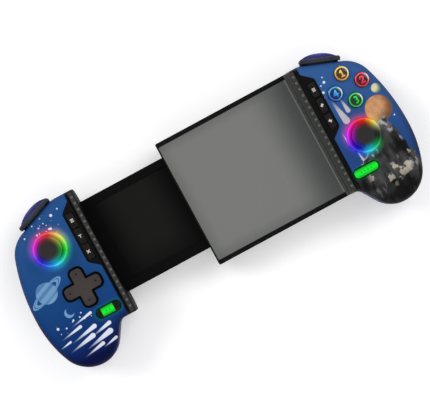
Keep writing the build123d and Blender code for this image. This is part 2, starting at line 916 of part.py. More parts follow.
def case_screws(side):
    """Four screws that clamp the two shells of a grip."""
    screws = []
    for x, y in screw_places():
        screw = slot_head(x, y, screw_seat)
        floor = screw_seat - screw_head_height
        reach, half = screw_head_radius * slot_length_share, slot_width / 2
        across = block(x - reach, x + reach, y - half, y + half, floor, floor + slot_depth)
        along = block(x - half, x + half, y - reach, y + reach, floor, floor + slot_depth)
        screws.append(screw - across - along)
    return screws


def board_space(side):
    """Room inside a grip for its board, clear of the walls, the trigger and the bosses."""
    inset = wall + board_inset
    plan = offset(grip_plan(side.jaw_face), -inset, kind=Kind.ARC)
    space = extrude(plan, amount=grip_thickness) & beyond(side.shell_edge + inset)
    reach = grip_half_height
    space &= block(0, outer_reach, board_low, reach, 0, grip_thickness)
    half = trigger_half + trigger_gap + well_wall + slip
    depth = well_depth + well_wall + slip
    space -= shoulder_frame() * block(-half, half, -depth, reach, 0, grip_thickness)
    for x, y in screw_places():
        space -= post(boss_core_radius + slip, x, y, 0, board_top)
        space -= post(boss_radius + slip, x, y, board_top, grip_thickness)
    return space


def board(side):
    """Circuit board under the sticks and keys."""
    return board_space(side) & layer(board_bottom, board_top)


def rubber_dome(x, y):
    """One sprung dome of a rubber membrane."""
    base = board_top + membrane_thickness
    cone = Pos(x, y, base + dome_rise / 2 - pin_slip / 2)
    return cone * Cone(dome_base_radius, dome_tip_radius, dome_rise + pin_slip)


def membrane(side):
    """Rubber membranes with a dome under every button and key."""
    base, top = board_top, board_top + membrane_thickness
    sheets = []
    keys = [(max(x, side.shell_edge + wall + key_gap + dome_tip_radius), y) for x, y in key_places(side)]
    inner = side.shell_edge + wall + board_inset
    outer = keys[0][0] + dome_base_radius + slip
    low, high = key_rows[-1] - membrane_margin, key_rows[0] + membrane_margin
    strip = block(inner, outer, low, high, base, top)
    for x, y in keys:
        strip += rubber_dome(x, y) & block(inner, outer, low, high, base, grip_thickness)
    sheets.append(strip)
    if side.mirrored:
        field = post(pad_foot_reach + dome_base_radius + slip, pad_x, pad_y, base, top)
        for dx, dy in ((1, 0), (-1, 0), (0, 1), (0, -1)):
            field += rubber_dome(pad_x + dx * pad_foot_reach, pad_y + dy * pad_foot_reach)
        reach = pad_pin_half_length + slip
        wide = pad_ear_half_width + slip
        low, high = pad_y - wide, pad_y + wide
        field -= block(pad_x - reach, pad_x + reach, low, high, base - overrun, grip_thickness)
    else:
        field = post(button_spread + dome_base_radius + slip, buttons_x, buttons_y, base, top)
        for x, y in button_places().values():
            field += rubber_dome(x, y)
        field &= board_space(side)
    sheets.append(field)
    x, y = pill_place(side)
    sheets.append(post(dome_base_radius + slip, x, y, base, top) + rubber_dome(x, y))
    return sheets


def battery():
    """Flat battery in the palm of the right grip."""
    low = wall + slip
    cell = block(battery_left, battery_right, battery_low, battery_high, low, low + battery_thickness)
    return fillet(cell.edges().filter_by(Axis.Y), battery_round)


def socket_space(inset):
    """Rounded space of the charging socket in the end of the right jaw."""
    x = right.jaw_face + socket_offset
    z = socket_base + socket_height / 2
    width, height = socket_width - inset * 2, socket_height - inset * 2
    face = RectangleRounded(width, height, width / 2 - pin_slip)
    y = jaw_bottom + inset
    plane = Plane((x, y, z), x_dir=(1, 0, 0), z_dir=(0, 1, 0))
    return extrude(plane * face, amount=socket_depth - inset)


def charging_socket():
    """Charging socket: a thin shell with its contact tongue."""
    shell = socket_space(pin_slip) - socket_mouth()
    x = right.jaw_face + socket_offset
    z = socket_base + socket_height / 2
    half = socket_height / 2 - socket_width / 2
    back = jaw_bottom + socket_depth - socket_skin
    front = jaw_bottom + overrun
    thick = socket_tongue / 2
    return shell + block(x - thick, x + thick, front, back, z - half, z + half)


def socket_mouth():
    """Hollow of the charging socket."""
    inset = pin_slip + socket_skin
    x = right.jaw_face + socket_offset
    z = socket_base + socket_height / 2
    width, height = socket_width - inset * 2, socket_height - inset * 2
    face = RectangleRounded(width, height, width / 2 - pin_slip)
    plane = Plane((x, jaw_bottom - overrun, z), x_dir=(1, 0, 0), z_dir=(0, 1, 0))
    return extrude(plane * face, amount=overrun + socket_depth - socket_skin)


def tongue_with_holes(side):
    """The bridge's tongue with its screw holes."""
    solid = tongue(side, 0)
    for x, y in frame_screw_places(side):
        solid -= post(screw_shank_radius + slip, x, y, 0, grip_thickness)
    return solid


def cover_space(grow):
    """Recess in the back of the case for its cover."""
    right_end = right.jaw_face - slip - case_end_wall
    return block(
        case_left + cover_rim - grow,
        right_end + grow,
        jaw_bottom + cover_rim - grow,
        jaw_top - cover_rim + grow,
        case_base,
        case_base + case_floor,
    )


def bridge_screw_places():
    """Places of the screws that hold the case's cover, in two rows."""
    low, high = case_left + bridge_screw_row, right.jaw_face - case_end_wall - bridge_screw_row
    step = (high - low) / (bridge_screw_count - 1)
    rows = (jaw_bottom + bridge_screw_row, jaw_top - bridge_screw_row)
    return [(low + step * index, y) for index in range(bridge_screw_count) for y in rows]


def bridge_case():
    """Outer sleeve of the bridge, fixed to the right grip."""
    right_end = right.jaw_face - slip
    case = block(case_left, right_end, jaw_bottom, jaw_top, case_base, plate_top)
    corners = [e for e in case.edges().filter_by(Axis.Z) if e.center().X < 0]
    case = fillet(corners, case_side_rim)
    floor = case_base + case_floor
    side_low = slider_bottom - shoe_thickness - slip
    side_high = slider_top + shoe_thickness + slip
    start, end = case_left + mouth_lip, right_end - case_end_wall
    case -= block(start, end, side_low, side_high, floor, channel_top)
    mouth_low, mouth_high = slider_bottom - slip, slider_top + slip
    case -= block(case_left - overrun, start, mouth_low, mouth_high, floor, channel_top)
    case -= cover_space(cover_slip)
    case -= plate_space(pin_slip, overrun)
    for x, y in bridge_screw_places():
        case -= post(bridge_screw_shank + pin_slip, x, y, floor, case_base + bridge_screw_length)
    return case + tongue_with_holes(right)


def bridge_back_cover():
    """Cover of the bridge's back, with countersunk screw holes."""
    cover = cover_space(0)
    cover = fillet(cover.edges().filter_by(Axis.Z), cover_rim / 2)
    seat = case_base + case_floor / 2
    for x, y in bridge_screw_places():
        cover -= post(bridge_screw_head + slip, x, y, case_base - overrun, seat)
        cover -= post(bridge_screw_shank + slip, x, y, case_base, case_base + case_floor + overrun)
    return cover


def bridge_screws():
    """Small screws of the bridge's back cover."""
    seat = case_base + case_floor / 2
    screws = []
    for x, y in bridge_screw_places():
        head = post(bridge_screw_head, x, y, case_base + slip, seat)
        tip = case_base + bridge_screw_length - slip
        screws.append(head + post(bridge_screw_shank, x, y, seat, tip))
    return screws


def plate_space(grow, above):
    """Recess of the face plate."""
    right_end = right.jaw_face - slip - case_end_rim
    return block(
        case_left + case_side_rim - grow,
        right_end + grow,
        jaw_bottom + case_rim - grow,
        jaw_top - case_rim + grow,
        case_top,
        plate_top + above,
    )


def face_plate():
    """Satin plate that the device rests against."""
    plate = plate_space(0, 0)
    return fillet(plate.edges().filter_by(Axis.Z), case_side_rim / 2)


def bridge_slider():
    """Tray-shaped inner slide of the bridge, fixed to the left grip."""
    start = -left.jaw_face
    end = start + slider_length
    slider = block(start, end, slider_bottom, slider_top, slider_base, slider_height)
    tray_low, tray_high = slider_bottom + slider_rim_bottom, slider_top - slider_rim_top
    tray_floor = slider_height - slider_recess
    slider -= block(
        start + slider_rim_end, end + overrun, tray_low, tray_high, tray_floor, slider_height + overrun
    )
    length = (slider_length - spool_notch - slider_rib * 2) / slider_bays - slider_rib
    bay_low, bay_high = slider_bottom + slider_rib * 2, slider_top - slider_rib * 2
    for index in range(slider_bays):
        low = start + slider_rib * 2 + index * (length + slider_rib)
        top = slider_base + slider_hollow
        slider -= block(low, low + length, bay_low, bay_high, slider_base - overrun, top)
    for y in (spool_low_y, spool_high_y):
        half = spool_width / 2 + slip * 2
        slider -= block(end - spool_notch, end + overrun, y - half, y + half, 0, grip_thickness)
    return slider + mirror(tongue_with_holes(left), about=Plane.YZ)


def glide_shoes():
    """Low-friction shoes on both edges of the slide."""
    end = -left.jaw_face + slider_length
    low, high = slider_base + slip, slider_height - slip
    shoes = []
    for y in (slider_bottom - shoe_thickness, slider_top):
        shoes.append(block(end - shoe_length - overrun, end - overrun, y, y + shoe_thickness, low, high))
    return shoes


def spring_spools():
    """Two coiled strip springs that pull the grips together."""
    z = case_base + case_floor + spool_radius + pin_slip
    x = right.jaw_face - slip - case_end_wall - slip - spool_radius
    spools = []
    for y in (spool_low_y, spool_high_y):
        half = spool_width / 2
        spools.append(bar_y(spool_radius, x, y - half, y + half, z))
    return spools


def spring_strips():
    """Straight runs of the strip springs from the slide to their coils."""
    low = -left.jaw_face + slider_length - spool_notch
    high = right.jaw_face - slip - case_end_wall - slip - spool_radius
    z = case_base + case_floor + spool_radius * 2 - strip_thickness
    strips = []
    for y in (spool_low_y, spool_high_y):
        half = spool_width / 2 - slip
        strips.append(block(low, high - spool_radius, y - half, y + half, z, z + strip_thickness))
    return strips


def ribbon_cable():
    """Flat cable between the two circuit boards, inside the bridge."""
    low = -left.jaw_face + slider_length
    high = right.jaw_face - slip - case_end_wall
    middle = (tongue_low + tongue_high) / 2
    half = ribbon_width / 2
    z = slider_base + slider_thickness / 2
    return block(low, high, middle - half, middle + half, z, z + ribbon_thickness)


def frame_screws(side):
    """Screws that hold the bridge's tongue down on the back shell's posts."""
    top = tongue_base(side) + tongue_thickness
    screws = []
    for x, y in frame_screw_places(side):
        head = post(screw_head_radius, x, y, top, top + screw_head_height)
        screws.append(head + post(screw_shank_radius, x, y, wall + slip, top))
    return screws


def build_grip(side):
    """Write every piece of one grip."""
    name = side.name
    save_side(side, name + "_front_shell", front_shell(side))
    save_side(side, name + "_back_shell", back_shell(side))
    save_side(side, name + "_jaw", jaw(side))
    save_side(side, name + "_jaw_pad", jaw_pad(side))
    plate = raised(key_plate_sketch(side, 0), grip_thickness - plate_pocket, grip_thickness + plate_rise)
    for x, y in key_places(side):
        width, length = key_width + key_gap * 2, key_length + key_gap * 2
        plate -= rounded_key(x, y, width, length, key_round, 0, grip_thickness + overrun)
    save_side(side, name + "_key_plate", plate)
    save_side(side, name + "_light_ring", light_ring(side))
    save_side(side, name + "_stick_module", stick_module(side))
    save_side(side, name + "_stick_yoke", stick_yoke(side))
    save_side(side, name + "_stick_pivot", stick_pivot(side))
    save_side(side, name + "_stick_cap", stick_cap(side))
    save_side(side, name + "_circuit_board", board(side))
    save_side(side, name + "_membrane", *membrane(side))
    save_side(side, name + "_case_screws", *case_screws(side))
    save_side(side, name + "_frame_screws", *frame_screws(side))
    for row_name, place in zip(("upper", "middle", "lower"), key_places(side)):
        save_side(side, f"{name}_key_{row_name}", function_key(side, *place))
    save_side(side, name + "_bumper", bumper())
    save_side(side, name + "_trigger", trigger())
    save_side(side, name + "_trigger_pin", shoulder_frame() * trigger_pin(trigger_pin_radius))


def build_bridge():
    """Write the sliding bridge and what it holds."""
    save("bridge_case", bridge_case())
    save("bridge_face_plate", face_plate())
    save("bridge_back_cover", bridge_back_cover())
    save("bridge_screws", *bridge_screws())
    save("bridge_slider", bridge_slider())
    save("glide_shoes", *glide_shoes())
    save("spring_spools", *spring_spools())
    save("spring_strips", *spring_strips())
    save("ribbon_cable", ribbon_cable())


os.makedirs("parts", exist_ok=True)
build_grip(left)
build_grip(right)
save_side(left, "light_key", pill_key(left))
save_side(right, "home_key", pill_key(right))
save_side(left, "dpad_cap", pad_cap())
save_side(left, "dpad_pivot", pad_pivot())
save_side(left, "dpad_bracket", pad_bracket())
for place_name, place in button_places().items():
    save("button_" + place_name, face_button(*place))
save("battery", battery())
save("usb_port", charging_socket())
build_bridge()
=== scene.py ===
"""Looks of a mobile game controller: two grips on a telescopic bridge, seen from straight above.

Sizes and places are in millimetres, with X towards the right grip, Y towards the triggers and Z
out of the face. They turn into metres where Blender takes them.
"""

import logging
import math
from collections.abc import Callable, Iterable
from dataclasses import dataclass, field
from enum import Enum
from functools import reduce
from operator import or_

import bpy
from mathutils import Matrix, Vector


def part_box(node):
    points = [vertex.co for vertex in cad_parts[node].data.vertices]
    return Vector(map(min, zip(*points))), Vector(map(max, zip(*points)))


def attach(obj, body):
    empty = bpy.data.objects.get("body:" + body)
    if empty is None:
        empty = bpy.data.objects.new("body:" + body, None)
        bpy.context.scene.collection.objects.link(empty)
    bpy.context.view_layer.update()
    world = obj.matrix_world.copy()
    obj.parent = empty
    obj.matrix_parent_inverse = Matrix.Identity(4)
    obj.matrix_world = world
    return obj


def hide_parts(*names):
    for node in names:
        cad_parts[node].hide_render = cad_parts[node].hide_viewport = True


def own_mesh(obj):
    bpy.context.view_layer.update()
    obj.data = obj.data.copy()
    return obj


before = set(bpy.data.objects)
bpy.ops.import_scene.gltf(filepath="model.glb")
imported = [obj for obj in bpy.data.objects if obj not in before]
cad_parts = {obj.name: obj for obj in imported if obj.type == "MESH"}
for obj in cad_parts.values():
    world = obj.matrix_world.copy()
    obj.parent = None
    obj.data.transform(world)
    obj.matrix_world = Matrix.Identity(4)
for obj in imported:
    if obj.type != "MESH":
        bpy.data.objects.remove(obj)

Socket = bpy.types.NodeSocket
Colour = tuple[float, float, float, float]
Place = tuple[float, float]

TURN = math.radians(28.4)
ORIGIN = (0.0, 0.0, 0.0)
UPWARDS = (0.0, 0.0, 1.0)

log = logging.getLogger("controller")


def tone(red: int, green: int, blue: int) -> Colour:
    """Turns a colour in screen values into the linear one that shaders take.

    Args:
        red: Red from 0 to 255.
        green: Green from 0 to 255.
        blue: Blue from 0 to 255.

    Returns:
        The linear colour with full opacity.
    """
    parts = []
    for part in (red / 255, green / 255, blue / 255):
        parts.append(part / 12.92 if part <= 0.04045 else ((part + 0.055) / 1.055) ** 2.4)
    return (parts[0], parts[1], parts[2], 1.0)


def metres(*sizes: float) -> tuple[float, ...]:
    """Turns millimetres into metres."""
    return tuple(size / 1000.0 for size in sizes)


def middle(node: str) -> Place:
    """X and Y of the middle of a CAD node."""
    low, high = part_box(node)
    return round((low.x + high.x) * 500.0, 2), round((low.y + high.y) * 500.0, 2)


class Hand(Enum):
    """Which of the two grips a piece belongs to."""

    LEFT = "left"
    RIGHT = "right"


class Shine(Enum):
    """How a metal's surface was worked, as its roughness."""

    POLISHED = 0.18
    BRUSHED = 0.34


@dataclass(frozen=True)
class Field:
    """A number or a colour that varies over a surface, as one output of a graph's node."""

    graph: "Graph"
    socket: Socket

    def __add__(self, other: "Value") -> "Field":
        """Sum of two numbers."""
        return self.graph.math("ADD", self, other)

    def __sub__(self, other: "Value") -> "Field":
        """Difference of two numbers."""
        return self.graph.math("SUBTRACT", self, other)

    def __rsub__(self, other: float) -> "Field":
        """Difference of a plain number and this one."""
        return self.graph.math("SUBTRACT", other, self)

    def __mul__(self, other: "Value") -> "Field":
        """Product, which for two masks is what they share."""
        return self.graph.math("MULTIPLY", self, other)

    def __truediv__(self, whole: float) -> "Field":
        """Quotient of this number and a plain one."""
        return self.graph.math("DIVIDE", self, whole)

    def __pow__(self, power: float) -> "Field":
        """This number to a power."""
        return self.graph.math("POWER", self, power)

    def __or__(self, other: "Value") -> "Field":
        """The greater one, which for two masks joins them."""
        return self.graph.math("MAXIMUM", self, other)

    def __abs__(self) -> "Field":
        """Size of the number without its sign."""
        return self.graph.math("ABSOLUTE", self)

    def sine(self) -> "Field":
        """Sine of the number."""
        return self.graph.math("SINE", self)

    def share_of(self, whole: "Value") -> "Field":
        """Share of a whole, kept between 0 and 1."""
        return self.graph.math("DIVIDE", self, whole, clamp=True)

    def other(self, output: str) -> "Field":
        """Another output of the same node."""
        return Field(self.graph, self.socket.node.outputs[output])

    def fade(self, start: float, end: float) -> "Field":
        """Changes smoothly from 0 to 1, also where the end is the lower value.

        Args:
            start: Value at which the result is 0.
            end: Value at which it is 1.

        Returns:
            The result, which stays at 0 or 1 beyond those values.
        """
        low, high, first, last = (start, end, 0.0, 1.0) if start < end else (end, start, 1.0, 0.0)
        inputs = {"Value": self, "From Min": low, "From Max": high, "To Min": first, "To Max": last}
        return self.graph.step("MapRange", "Result", inputs, interpolation_type="SMOOTHSTEP")


Value = float | tuple | Field


def any_of(masks: Iterable[Field]) -> Field:
    """Joins masks so that the strongest one counts."""
    return reduce(or_, masks)


class Graph:
    """One material's nodes, with a short call for each step that the finishes share."""

    def __init__(self, name: str) -> None:
        """Starts a plain material.

        Args:
            name: Its name.
        """
        self.material = bpy.data.materials.new(name)
        self.material.use_nodes = True
        self.nodes = self.material.node_tree.nodes
        self.links = self.material.node_tree.links
        self.shader = next(node for node in self.nodes if node.type == "BSDF_PRINCIPLED")
        place = self.step("TexCoord", "Object", {})
        self.place = self.vector("MULTIPLY", place, (1000.0, 1000.0, 1000.0))
        self.flat = self.vector("MULTIPLY", self.place, (1.0, 1.0, 0.0))
        self.x, self.y, self.z = self.split(self.place)

    def put(self, socket: Socket, value: Value) -> None:
        """Links a field to an input, or writes a plain value into it.

        Args:
            socket: The input.
            value: A field, a number, a vector or a colour.
        """
        if isinstance(value, Field):
            self.links.new(value.socket, socket)
        else:
            socket.default_value = value

    def step(self, kind: str, output: int | str, inputs: dict, **settings: str | bool) -> Field:
        """Adds a node.

        Args:
            kind: Its kind, as Blender names it after ShaderNode.
            output: The output that is wanted, by number or name.
            inputs: What goes into its inputs, by their numbers or names.
            settings: The node's own settings.

        Returns:
            What that output gives.
        """
        node = self.nodes.new(f"ShaderNode{kind}")
        for name, value in settings.items():
            setattr(node, name, value)
        for name, value in inputs.items():
            self.put(node.inputs[name], value)
        return Field(self, node.outputs[output])

    def math(self, operation: str, *values: Value, clamp: bool = False) -> Field:
        """Adds a number step.

        Args:
            operation: The step, as Blender names it.
            values: Its numbers.
            clamp: Whether the result is kept between 0 and 1.

        Returns:
            The resulting number.
        """
        inputs = dict(enumerate(values))
        return self.step("Math", 0, inputs, operation=operation, use_clamp=clamp)

    def vector(self, operation: str, first: Value, second: Value = ORIGIN) -> Field:
        """Adds a vector step.

        Args:
            operation: The step, as Blender names it.
            first: Its first vector.
            second: Its second vector.

        Returns:
            The resulting vector, or the number where the step gives one.
        """
        output = "Value" if operation in ("LENGTH", "DISTANCE", "DOT_PRODUCT") else "Vector"
        return self.step("VectorMath", output, {0: first, 1: second}, operation=operation)

    def split(self, vector: Field) -> tuple[Field, Field, Field]:
        """X, Y and Z of a vector."""
        x = self.step("SeparateXYZ", "X", {0: vector})
        return x, x.other("Y"), x.other("Z")

    def noise(self, per_mm: float, detail: float = 2.0, stretch: tuple = (1.0, 1.0, 1.0)) -> Field:
        """Soft noise.

        Args:
            per_mm: About how many patches lie in a millimetre.
            detail: How many finer layers lie on it.
            stretch: How much closer the patches lie along each axis.

        Returns:
            The noise, from 0 to 1.
        """
        inputs = {"Vector": self.vector("MULTIPLY", self.place, stretch), "Scale": per_mm}
        return self.step("TexNoise", "Fac", {**inputs, "Detail": detail})

    def cells(self, per_mm: float, feature: str = "F1", flat: bool = False) -> Field:
        """Cell pattern.

        Args:
            per_mm: How many cells lie in a millimetre.
            feature: What is measured, as Blender names it.
            flat: Whether the cells stand upright, the same at every height.

        Returns:
            The distance in the pattern.
        """
        inputs = {"Vector": self.flat if flat else self.place, "Scale": per_mm}
        return self.step("TexVoronoi", "Distance", inputs, feature=feature)

    def mix(self, share: Value, first: Value, second: Value) -> Field:
        """Blends two colours by a share from 0, the first, to 1, the second."""
        return self.step("Mix", 2, {0: share, 6: first, 7: second}, data_type="RGBA")

    def reach(self, x: float, y: float) -> Field:
        """Distance in plan from one point."""
        return self.vector("DISTANCE", self.flat, (x, y, 0.0))

    def bearing(self, x: float, y: float) -> Field:
        """Angle in plan round one point."""
        return self.math("ARCTAN2", self.y - y, self.x - x)

    def disc(self, x: float, y: float, radius: float, soft: float = 0.25) -> Field:
        """Round spot in plan."""
        return self.reach(x, y).fade(radius + soft, radius - soft)

    def band(self, x: float, y: float, radius: float, width: float, soft: float = 0.2) -> Field:
        """Round line in plan, centred on that radius."""
        return abs(self.reach(x, y) - radius).fade(width / 2 + soft, width / 2 - soft)

    def arc(
        self, x: float, y: float, radius: float, width: float, side: Place, cut: float
    ) -> Field:
        """Part of a round line in plan, on one side of its centre.

        Args:
            x: X of the centre.
            y: Y of the centre.
            radius: Radius of the line.
            width: Its full width.
            side: Direction in plan towards the part that is kept.
            cut: How far past the centre the cut lies along that direction.

        Returns:
            A mask that is 1 on the kept part.
        """
        offset = self.vector("SUBTRACT", self.flat, (x, y, 0.0))
        onward = self.vector("DOT_PRODUCT", offset, (*side, 0.0))
        return self.band(x, y, radius, width) * onward.fade(cut - 0.15, cut + 0.15)

    def slab(self, x: float, y: float, half_x: float, half_y: float, corner: float) -> Field:
        """Distance in plan from a rectangle with round corners.

        Args:
            x: X of its centre.
            y: Y of its centre.
            half_x: Half its size along X.
            half_y: Half its size along Y.
            corner: Radius of its corners.

        Returns:
            The distance, which is negative inside.
        """
        folded = self.vector("ABSOLUTE", self.vector("SUBTRACT", self.flat, (x, y, 0.0)))
        beyond = self.vector("SUBTRACT", folded, (half_x - corner, half_y - corner, 0.0))
        return self.vector("LENGTH", self.vector("MAXIMUM", beyond)) - corner

    def line(self, start: Place, end: Place) -> tuple[Field, Field]:
        """Measures from a straight line in plan.

        Args:
            start: X and Y of one end.
            end: X and Y of the other end.

        Returns:
            The nearest point of the line, from 0 at its start to 1 at its end, and the distance.
        """
        run = (end[0] - start[0], end[1] - start[1], 0.0)
        offset = self.vector("SUBTRACT", self.flat, (*start, 0.0))
        along = self.vector("DOT_PRODUCT", offset, run).share_of(run[0] ** 2 + run[1] ** 2)
        return along, self.vector("DISTANCE", offset, self.vector("MULTIPLY", along, run))

    def stroke(self, start: Place, end: Place, width: float, soft: float = 0.2) -> Field:
        """Straight stroke with round ends in plan, of that width, with its edge faded."""
        return self.line(start, end)[1].fade(width / 2 + soft, max(width / 2 - soft, 0.0))

    def strokes(self, x: float, y: float, rows: Iterable, width: float, soft: float) -> Field:
        """Strokes in plan round one point.

        Args:
            x: X of the point.
            y: Y of the point.
            rows: X and Y of both ends of each stroke, measured from the point.
            width: Full width of the strokes.
            soft: Width over which their edges fade.

        Returns:
            A mask that is 1 on the strokes.
        """
        ends = (((x + x0, y + y0), (x + x1, y + y1)) for x0, y0, x1, y1 in rows)
        return any_of(self.stroke(start, end, width, soft) for start, end in ends)

    def trail(
        self, start: Place, end: Place, head: float, tail: float = 0.2, soft: float = 0.2
    ) -> Field:
        """Stroke in plan that widens and grows denser from its tail to its head.

        Args:
            start: X and Y of the tail.
            end: X and Y of the head.
            head: Full width at the head.
            tail: Full width at the tail.
            soft: Width over which its edge fades.

        Returns:
            A mask that is 1 on the head.
        """
        along, away = self.line(start, end)
        half = along * ((head - tail) / 2) + tail / 2
        return (away - half).fade(soft, -soft) * along.fade(-0.1, 0.75)

    def bump(self, height: Field, depth: float, strength: float = 1.0) -> None:
        """Raises the surface by a pattern, on top of any bump before it.

        Args:
            height: The pattern, from 0 to 1.
            depth: Its depth.
            strength: How much of it shows.
        """
        inputs = {"Strength": strength, "Distance": depth / 1000.0, "Height": height}
        normal = self.shader.inputs["Normal"]
        if normal.is_linked:
            inputs["Normal"] = Field(self, normal.links[0].from_socket)
        self.put(normal, self.step("Bump", "Normal", inputs))

    def finish(self, **inputs: Value) -> None:
        """Sets the shader's own inputs, named with underscores for spaces."""
        for name, value in inputs.items():
            self.put(self.shader.inputs[name.replace("_", " ")], value)


@dataclass(frozen=True)
class Finish:
    """A finish, known by its material's name."""

    name: str

    def lay_out(self, graph: Graph) -> None:
        """Lays the finish out on a material's graph."""
        raise NotImplementedError(self.name)

    def material(self) -> bpy.types.Material:
        """Makes the material.

        Returns:
            A new material with the finish laid out on it.
        """
        graph = Graph(self.name)
        self.lay_out(graph)
        return graph.material


@dataclass(frozen=True)
class CentredFinish(Finish):
    """A finish whose pattern is centred on one point in plan."""

    x: float
    y: float

    def hue(self, graph: Graph) -> Field:
        """Colour of this grip's light ring by the angle round the centre.

        Args:
            graph: The material's graph.

        Returns:
            The colour, in the turn that the photograph shows.
        """
        rows = RING_STOPS[Hand.RIGHT if self.x > 0.0 else Hand.LEFT]
        turned = (graph.bearing(self.x, self.y) + TURN) / math.tau + 1.0
        share = graph.math("FRACT", turned)
        ramp = graph.step("ValToRGB", "Color", {"Fac": share})
        elements = ramp.socket.node.color_ramp.elements
        elements.remove(elements[0])
        elements[0].position = 0.0
        elements[0].color = tone(*rows[0][1:])
        for place, *colour in rows[1:]:
            elements.new(place).color = tone(*colour)
        return ramp

    def lean(self, graph: Graph) -> Field:
        """Rises from the lower left of the centre to its upper right, the way the painted light
        falls on the face buttons and their rings.
        """
        return (graph.x - self.x) + (graph.y - self.y)


RING_STOPS = {
    Hand.LEFT: (
        (0.0, 24, 222, 48), (0.06, 110, 245, 80), (0.11, 196, 240, 96), (0.15, 240, 230, 84),
        (0.19, 250, 208, 96), (0.23, 246, 150, 84), (0.27, 247, 76, 70), (0.32, 247, 66, 88),
        (0.37, 248, 58, 134), (0.43, 243, 44, 205), (0.5, 226, 44, 232), (0.56, 168, 56, 236),
        (0.61, 88, 36, 232), (0.67, 58, 40, 228), (0.72, 44, 92, 240), (0.77, 24, 152, 240),
        (0.82, 50, 208, 252), (0.86, 36, 222, 224), (0.91, 30, 214, 164), (0.96, 28, 212, 96),
        (1.0, 24, 222, 48),
    ),
    Hand.RIGHT: (
        (0.0, 5, 54, 30), (0.04, 52, 56, 50), (0.08, 128, 132, 112), (0.12, 208, 206, 134),
        (0.16, 244, 222, 74), (0.2, 250, 160, 40), (0.25, 252, 58, 34), (0.33, 252, 36, 66),
        (0.4, 250, 34, 168), (0.48, 246, 30, 236), (0.55, 196, 30, 246), (0.61, 96, 24, 236),
        (0.68, 36, 34, 230), (0.73, 24, 84, 240), (0.78, 36, 190, 250), (0.82, 30, 226, 236),
        (0.87, 20, 206, 150), (0.92, 8, 170, 82), (0.97, 4, 96, 44), (1.0, 5, 54, 30),
    ),
}


@dataclass(frozen=True)
class Moulded(Finish):
    """Moulded plastic with a fine spark-eroded grain, slight mottling and rubbed high spots."""

    colour: Colour
    shade: Colour
    roughness: float = 0.5
    gloss: float = 0.16
    coat: float = 0.0

    def lay_out(self, graph: Graph) -> None:
        """Lays out the grain, the mottling and the roughness.

        Args:
            graph: The material's graph.
        """
        graph.bump(graph.noise(5.0, 3.0), 0.02, 0.6)
        mottling = graph.noise(0.12, 4.0).fade(0.3, 0.7)
        graph.finish(
            Base_Color=graph.mix(mottling, self.colour, self.shade),
            Roughness=graph.noise(0.6, 3.0) * 0.16 + (self.roughness - 0.08),
            Coat_Weight=self.coat, Coat_Roughness=0.12, Specular_IOR_Level=self.gloss,
        )


@dataclass(frozen=True)
class Rubber(Finish):
    """Matt rubber with dust in its pores."""

    colour: Colour
    dust: Colour

    def lay_out(self, graph: Graph) -> None:
        """Lays out the pores and the dusty patches.

        Args:
            graph: The material's graph.
        """
        graph.bump(graph.cells(3.2), 0.05, 0.5)
        patches = graph.noise(0.5, 5.0).fade(0.42, 0.66)
        graph.finish(
            Base_Color=graph.mix(patches, self.colour, self.dust), Roughness=patches * 0.1 + 0.72,
            Sheen_Weight=0.15,
        )


@dataclass(frozen=True)
class Metal(Finish):
    """Bare metal with drawn lines along one direction."""

    colour: Colour
    shine: Shine
    stretch: tuple = (0.15, 4.0, 4.0)

    def lay_out(self, graph: Graph) -> None:
        """Lays out the drawn lines and the tarnish.

        Args:
            graph: The material's graph.
        """
        lines = graph.noise(3.0, 4.0, self.stretch)
        graph.bump(lines, 0.01, 0.4)
        tarnish = graph.noise(0.3, 3.0).fade(0.45, 0.8)
        shade = tuple(part * 0.6 for part in self.colour[:3]) + (1.0,)
        graph.finish(
            Base_Color=graph.mix(tarnish, self.colour, shade),
            Roughness=lines * 0.2 + (self.shine.value - 0.1), Metallic=1.0,
        )


@dataclass(frozen=True)
class CrossHead(Finish):
    """Steel of one node's screws, with a cross recess in each head that is painted dark as shade.
    """

    axes: tuple
    arm: float = 1.15
    slot: float = 0.5
    turn: Place = (0.92, 0.39)
    colour: Colour = tone(150, 152, 156)

    def lay_out(self, graph: Graph) -> None:
        """Lays out the recesses with their painted shade, the fine turning marks and the tarnish.

        Args:
            graph: The material's graph.
        """
        dx, dy = (part * self.arm for part in self.turn)
        rows = ((-dx, -dy, dx, dy), (dy, -dx, -dy, dx))
        cross = any_of(graph.strokes(x, y, rows, self.slot, 0.1) for x, y in self.axes)
        graph.bump(graph.noise(3.0, 4.0), 0.01, 0.4)
        graph.bump(1.0 - cross, 0.3, 0.8)
        tarnish = graph.noise(0.3, 3.0).fade(0.45, 0.8)
        steel = graph.mix(tarnish, self.colour, tone(118, 120, 124))
        # The recesses are painted near-black and not metallic: painted shade.
        graph.finish(
            Base_Color=graph.mix(cross, steel, tone(14, 14, 15)), Roughness=Shine.BRUSHED.value,
            Metallic=1.0 - cross,
        )


@dataclass(frozen=True)
class RingLight(CentredFinish):
    """Lit light guide whose hue runs round the stick."""

    strength: float = 0.84
    core_radius: float = 9.95
    core_width: float = 0.62

    def lay_out(self, graph: Graph) -> None:
        """Lays out the hue, a brighter core line and the faint flecks of the guide.

        Args:
            graph: The material's graph.
        """
        core = graph.band(self.x, self.y, self.core_radius, self.core_width, 0.4)
        hue = graph.mix((1.0 - core) * 0.4, self.hue(graph), tone(0, 0, 0))
        flecks = graph.noise(1.4, 2.0).fade(0.2, 0.6)
        graph.bump(graph.noise(3.0, 2.0), 0.02, 0.4)
        graph.finish(
            Base_Color=graph.mix(0.85, hue, tone(8, 8, 8)), Roughness=0.3, Specular_IOR_Level=0.2,
            Emission_Color=graph.mix(core * 0.04, hue, tone(255, 255, 255)),
            Emission_Strength=flecks * 0.18 + self.strength,
        )


@dataclass(frozen=True)
class SkyBlues:
    """The blues of one printed front, from its top to its palm, and the blue of the painted shade
    on its lower rim.
    """

    bright: Colour
    middle: Colour
    deep: Colour
    shaded_side: Colour
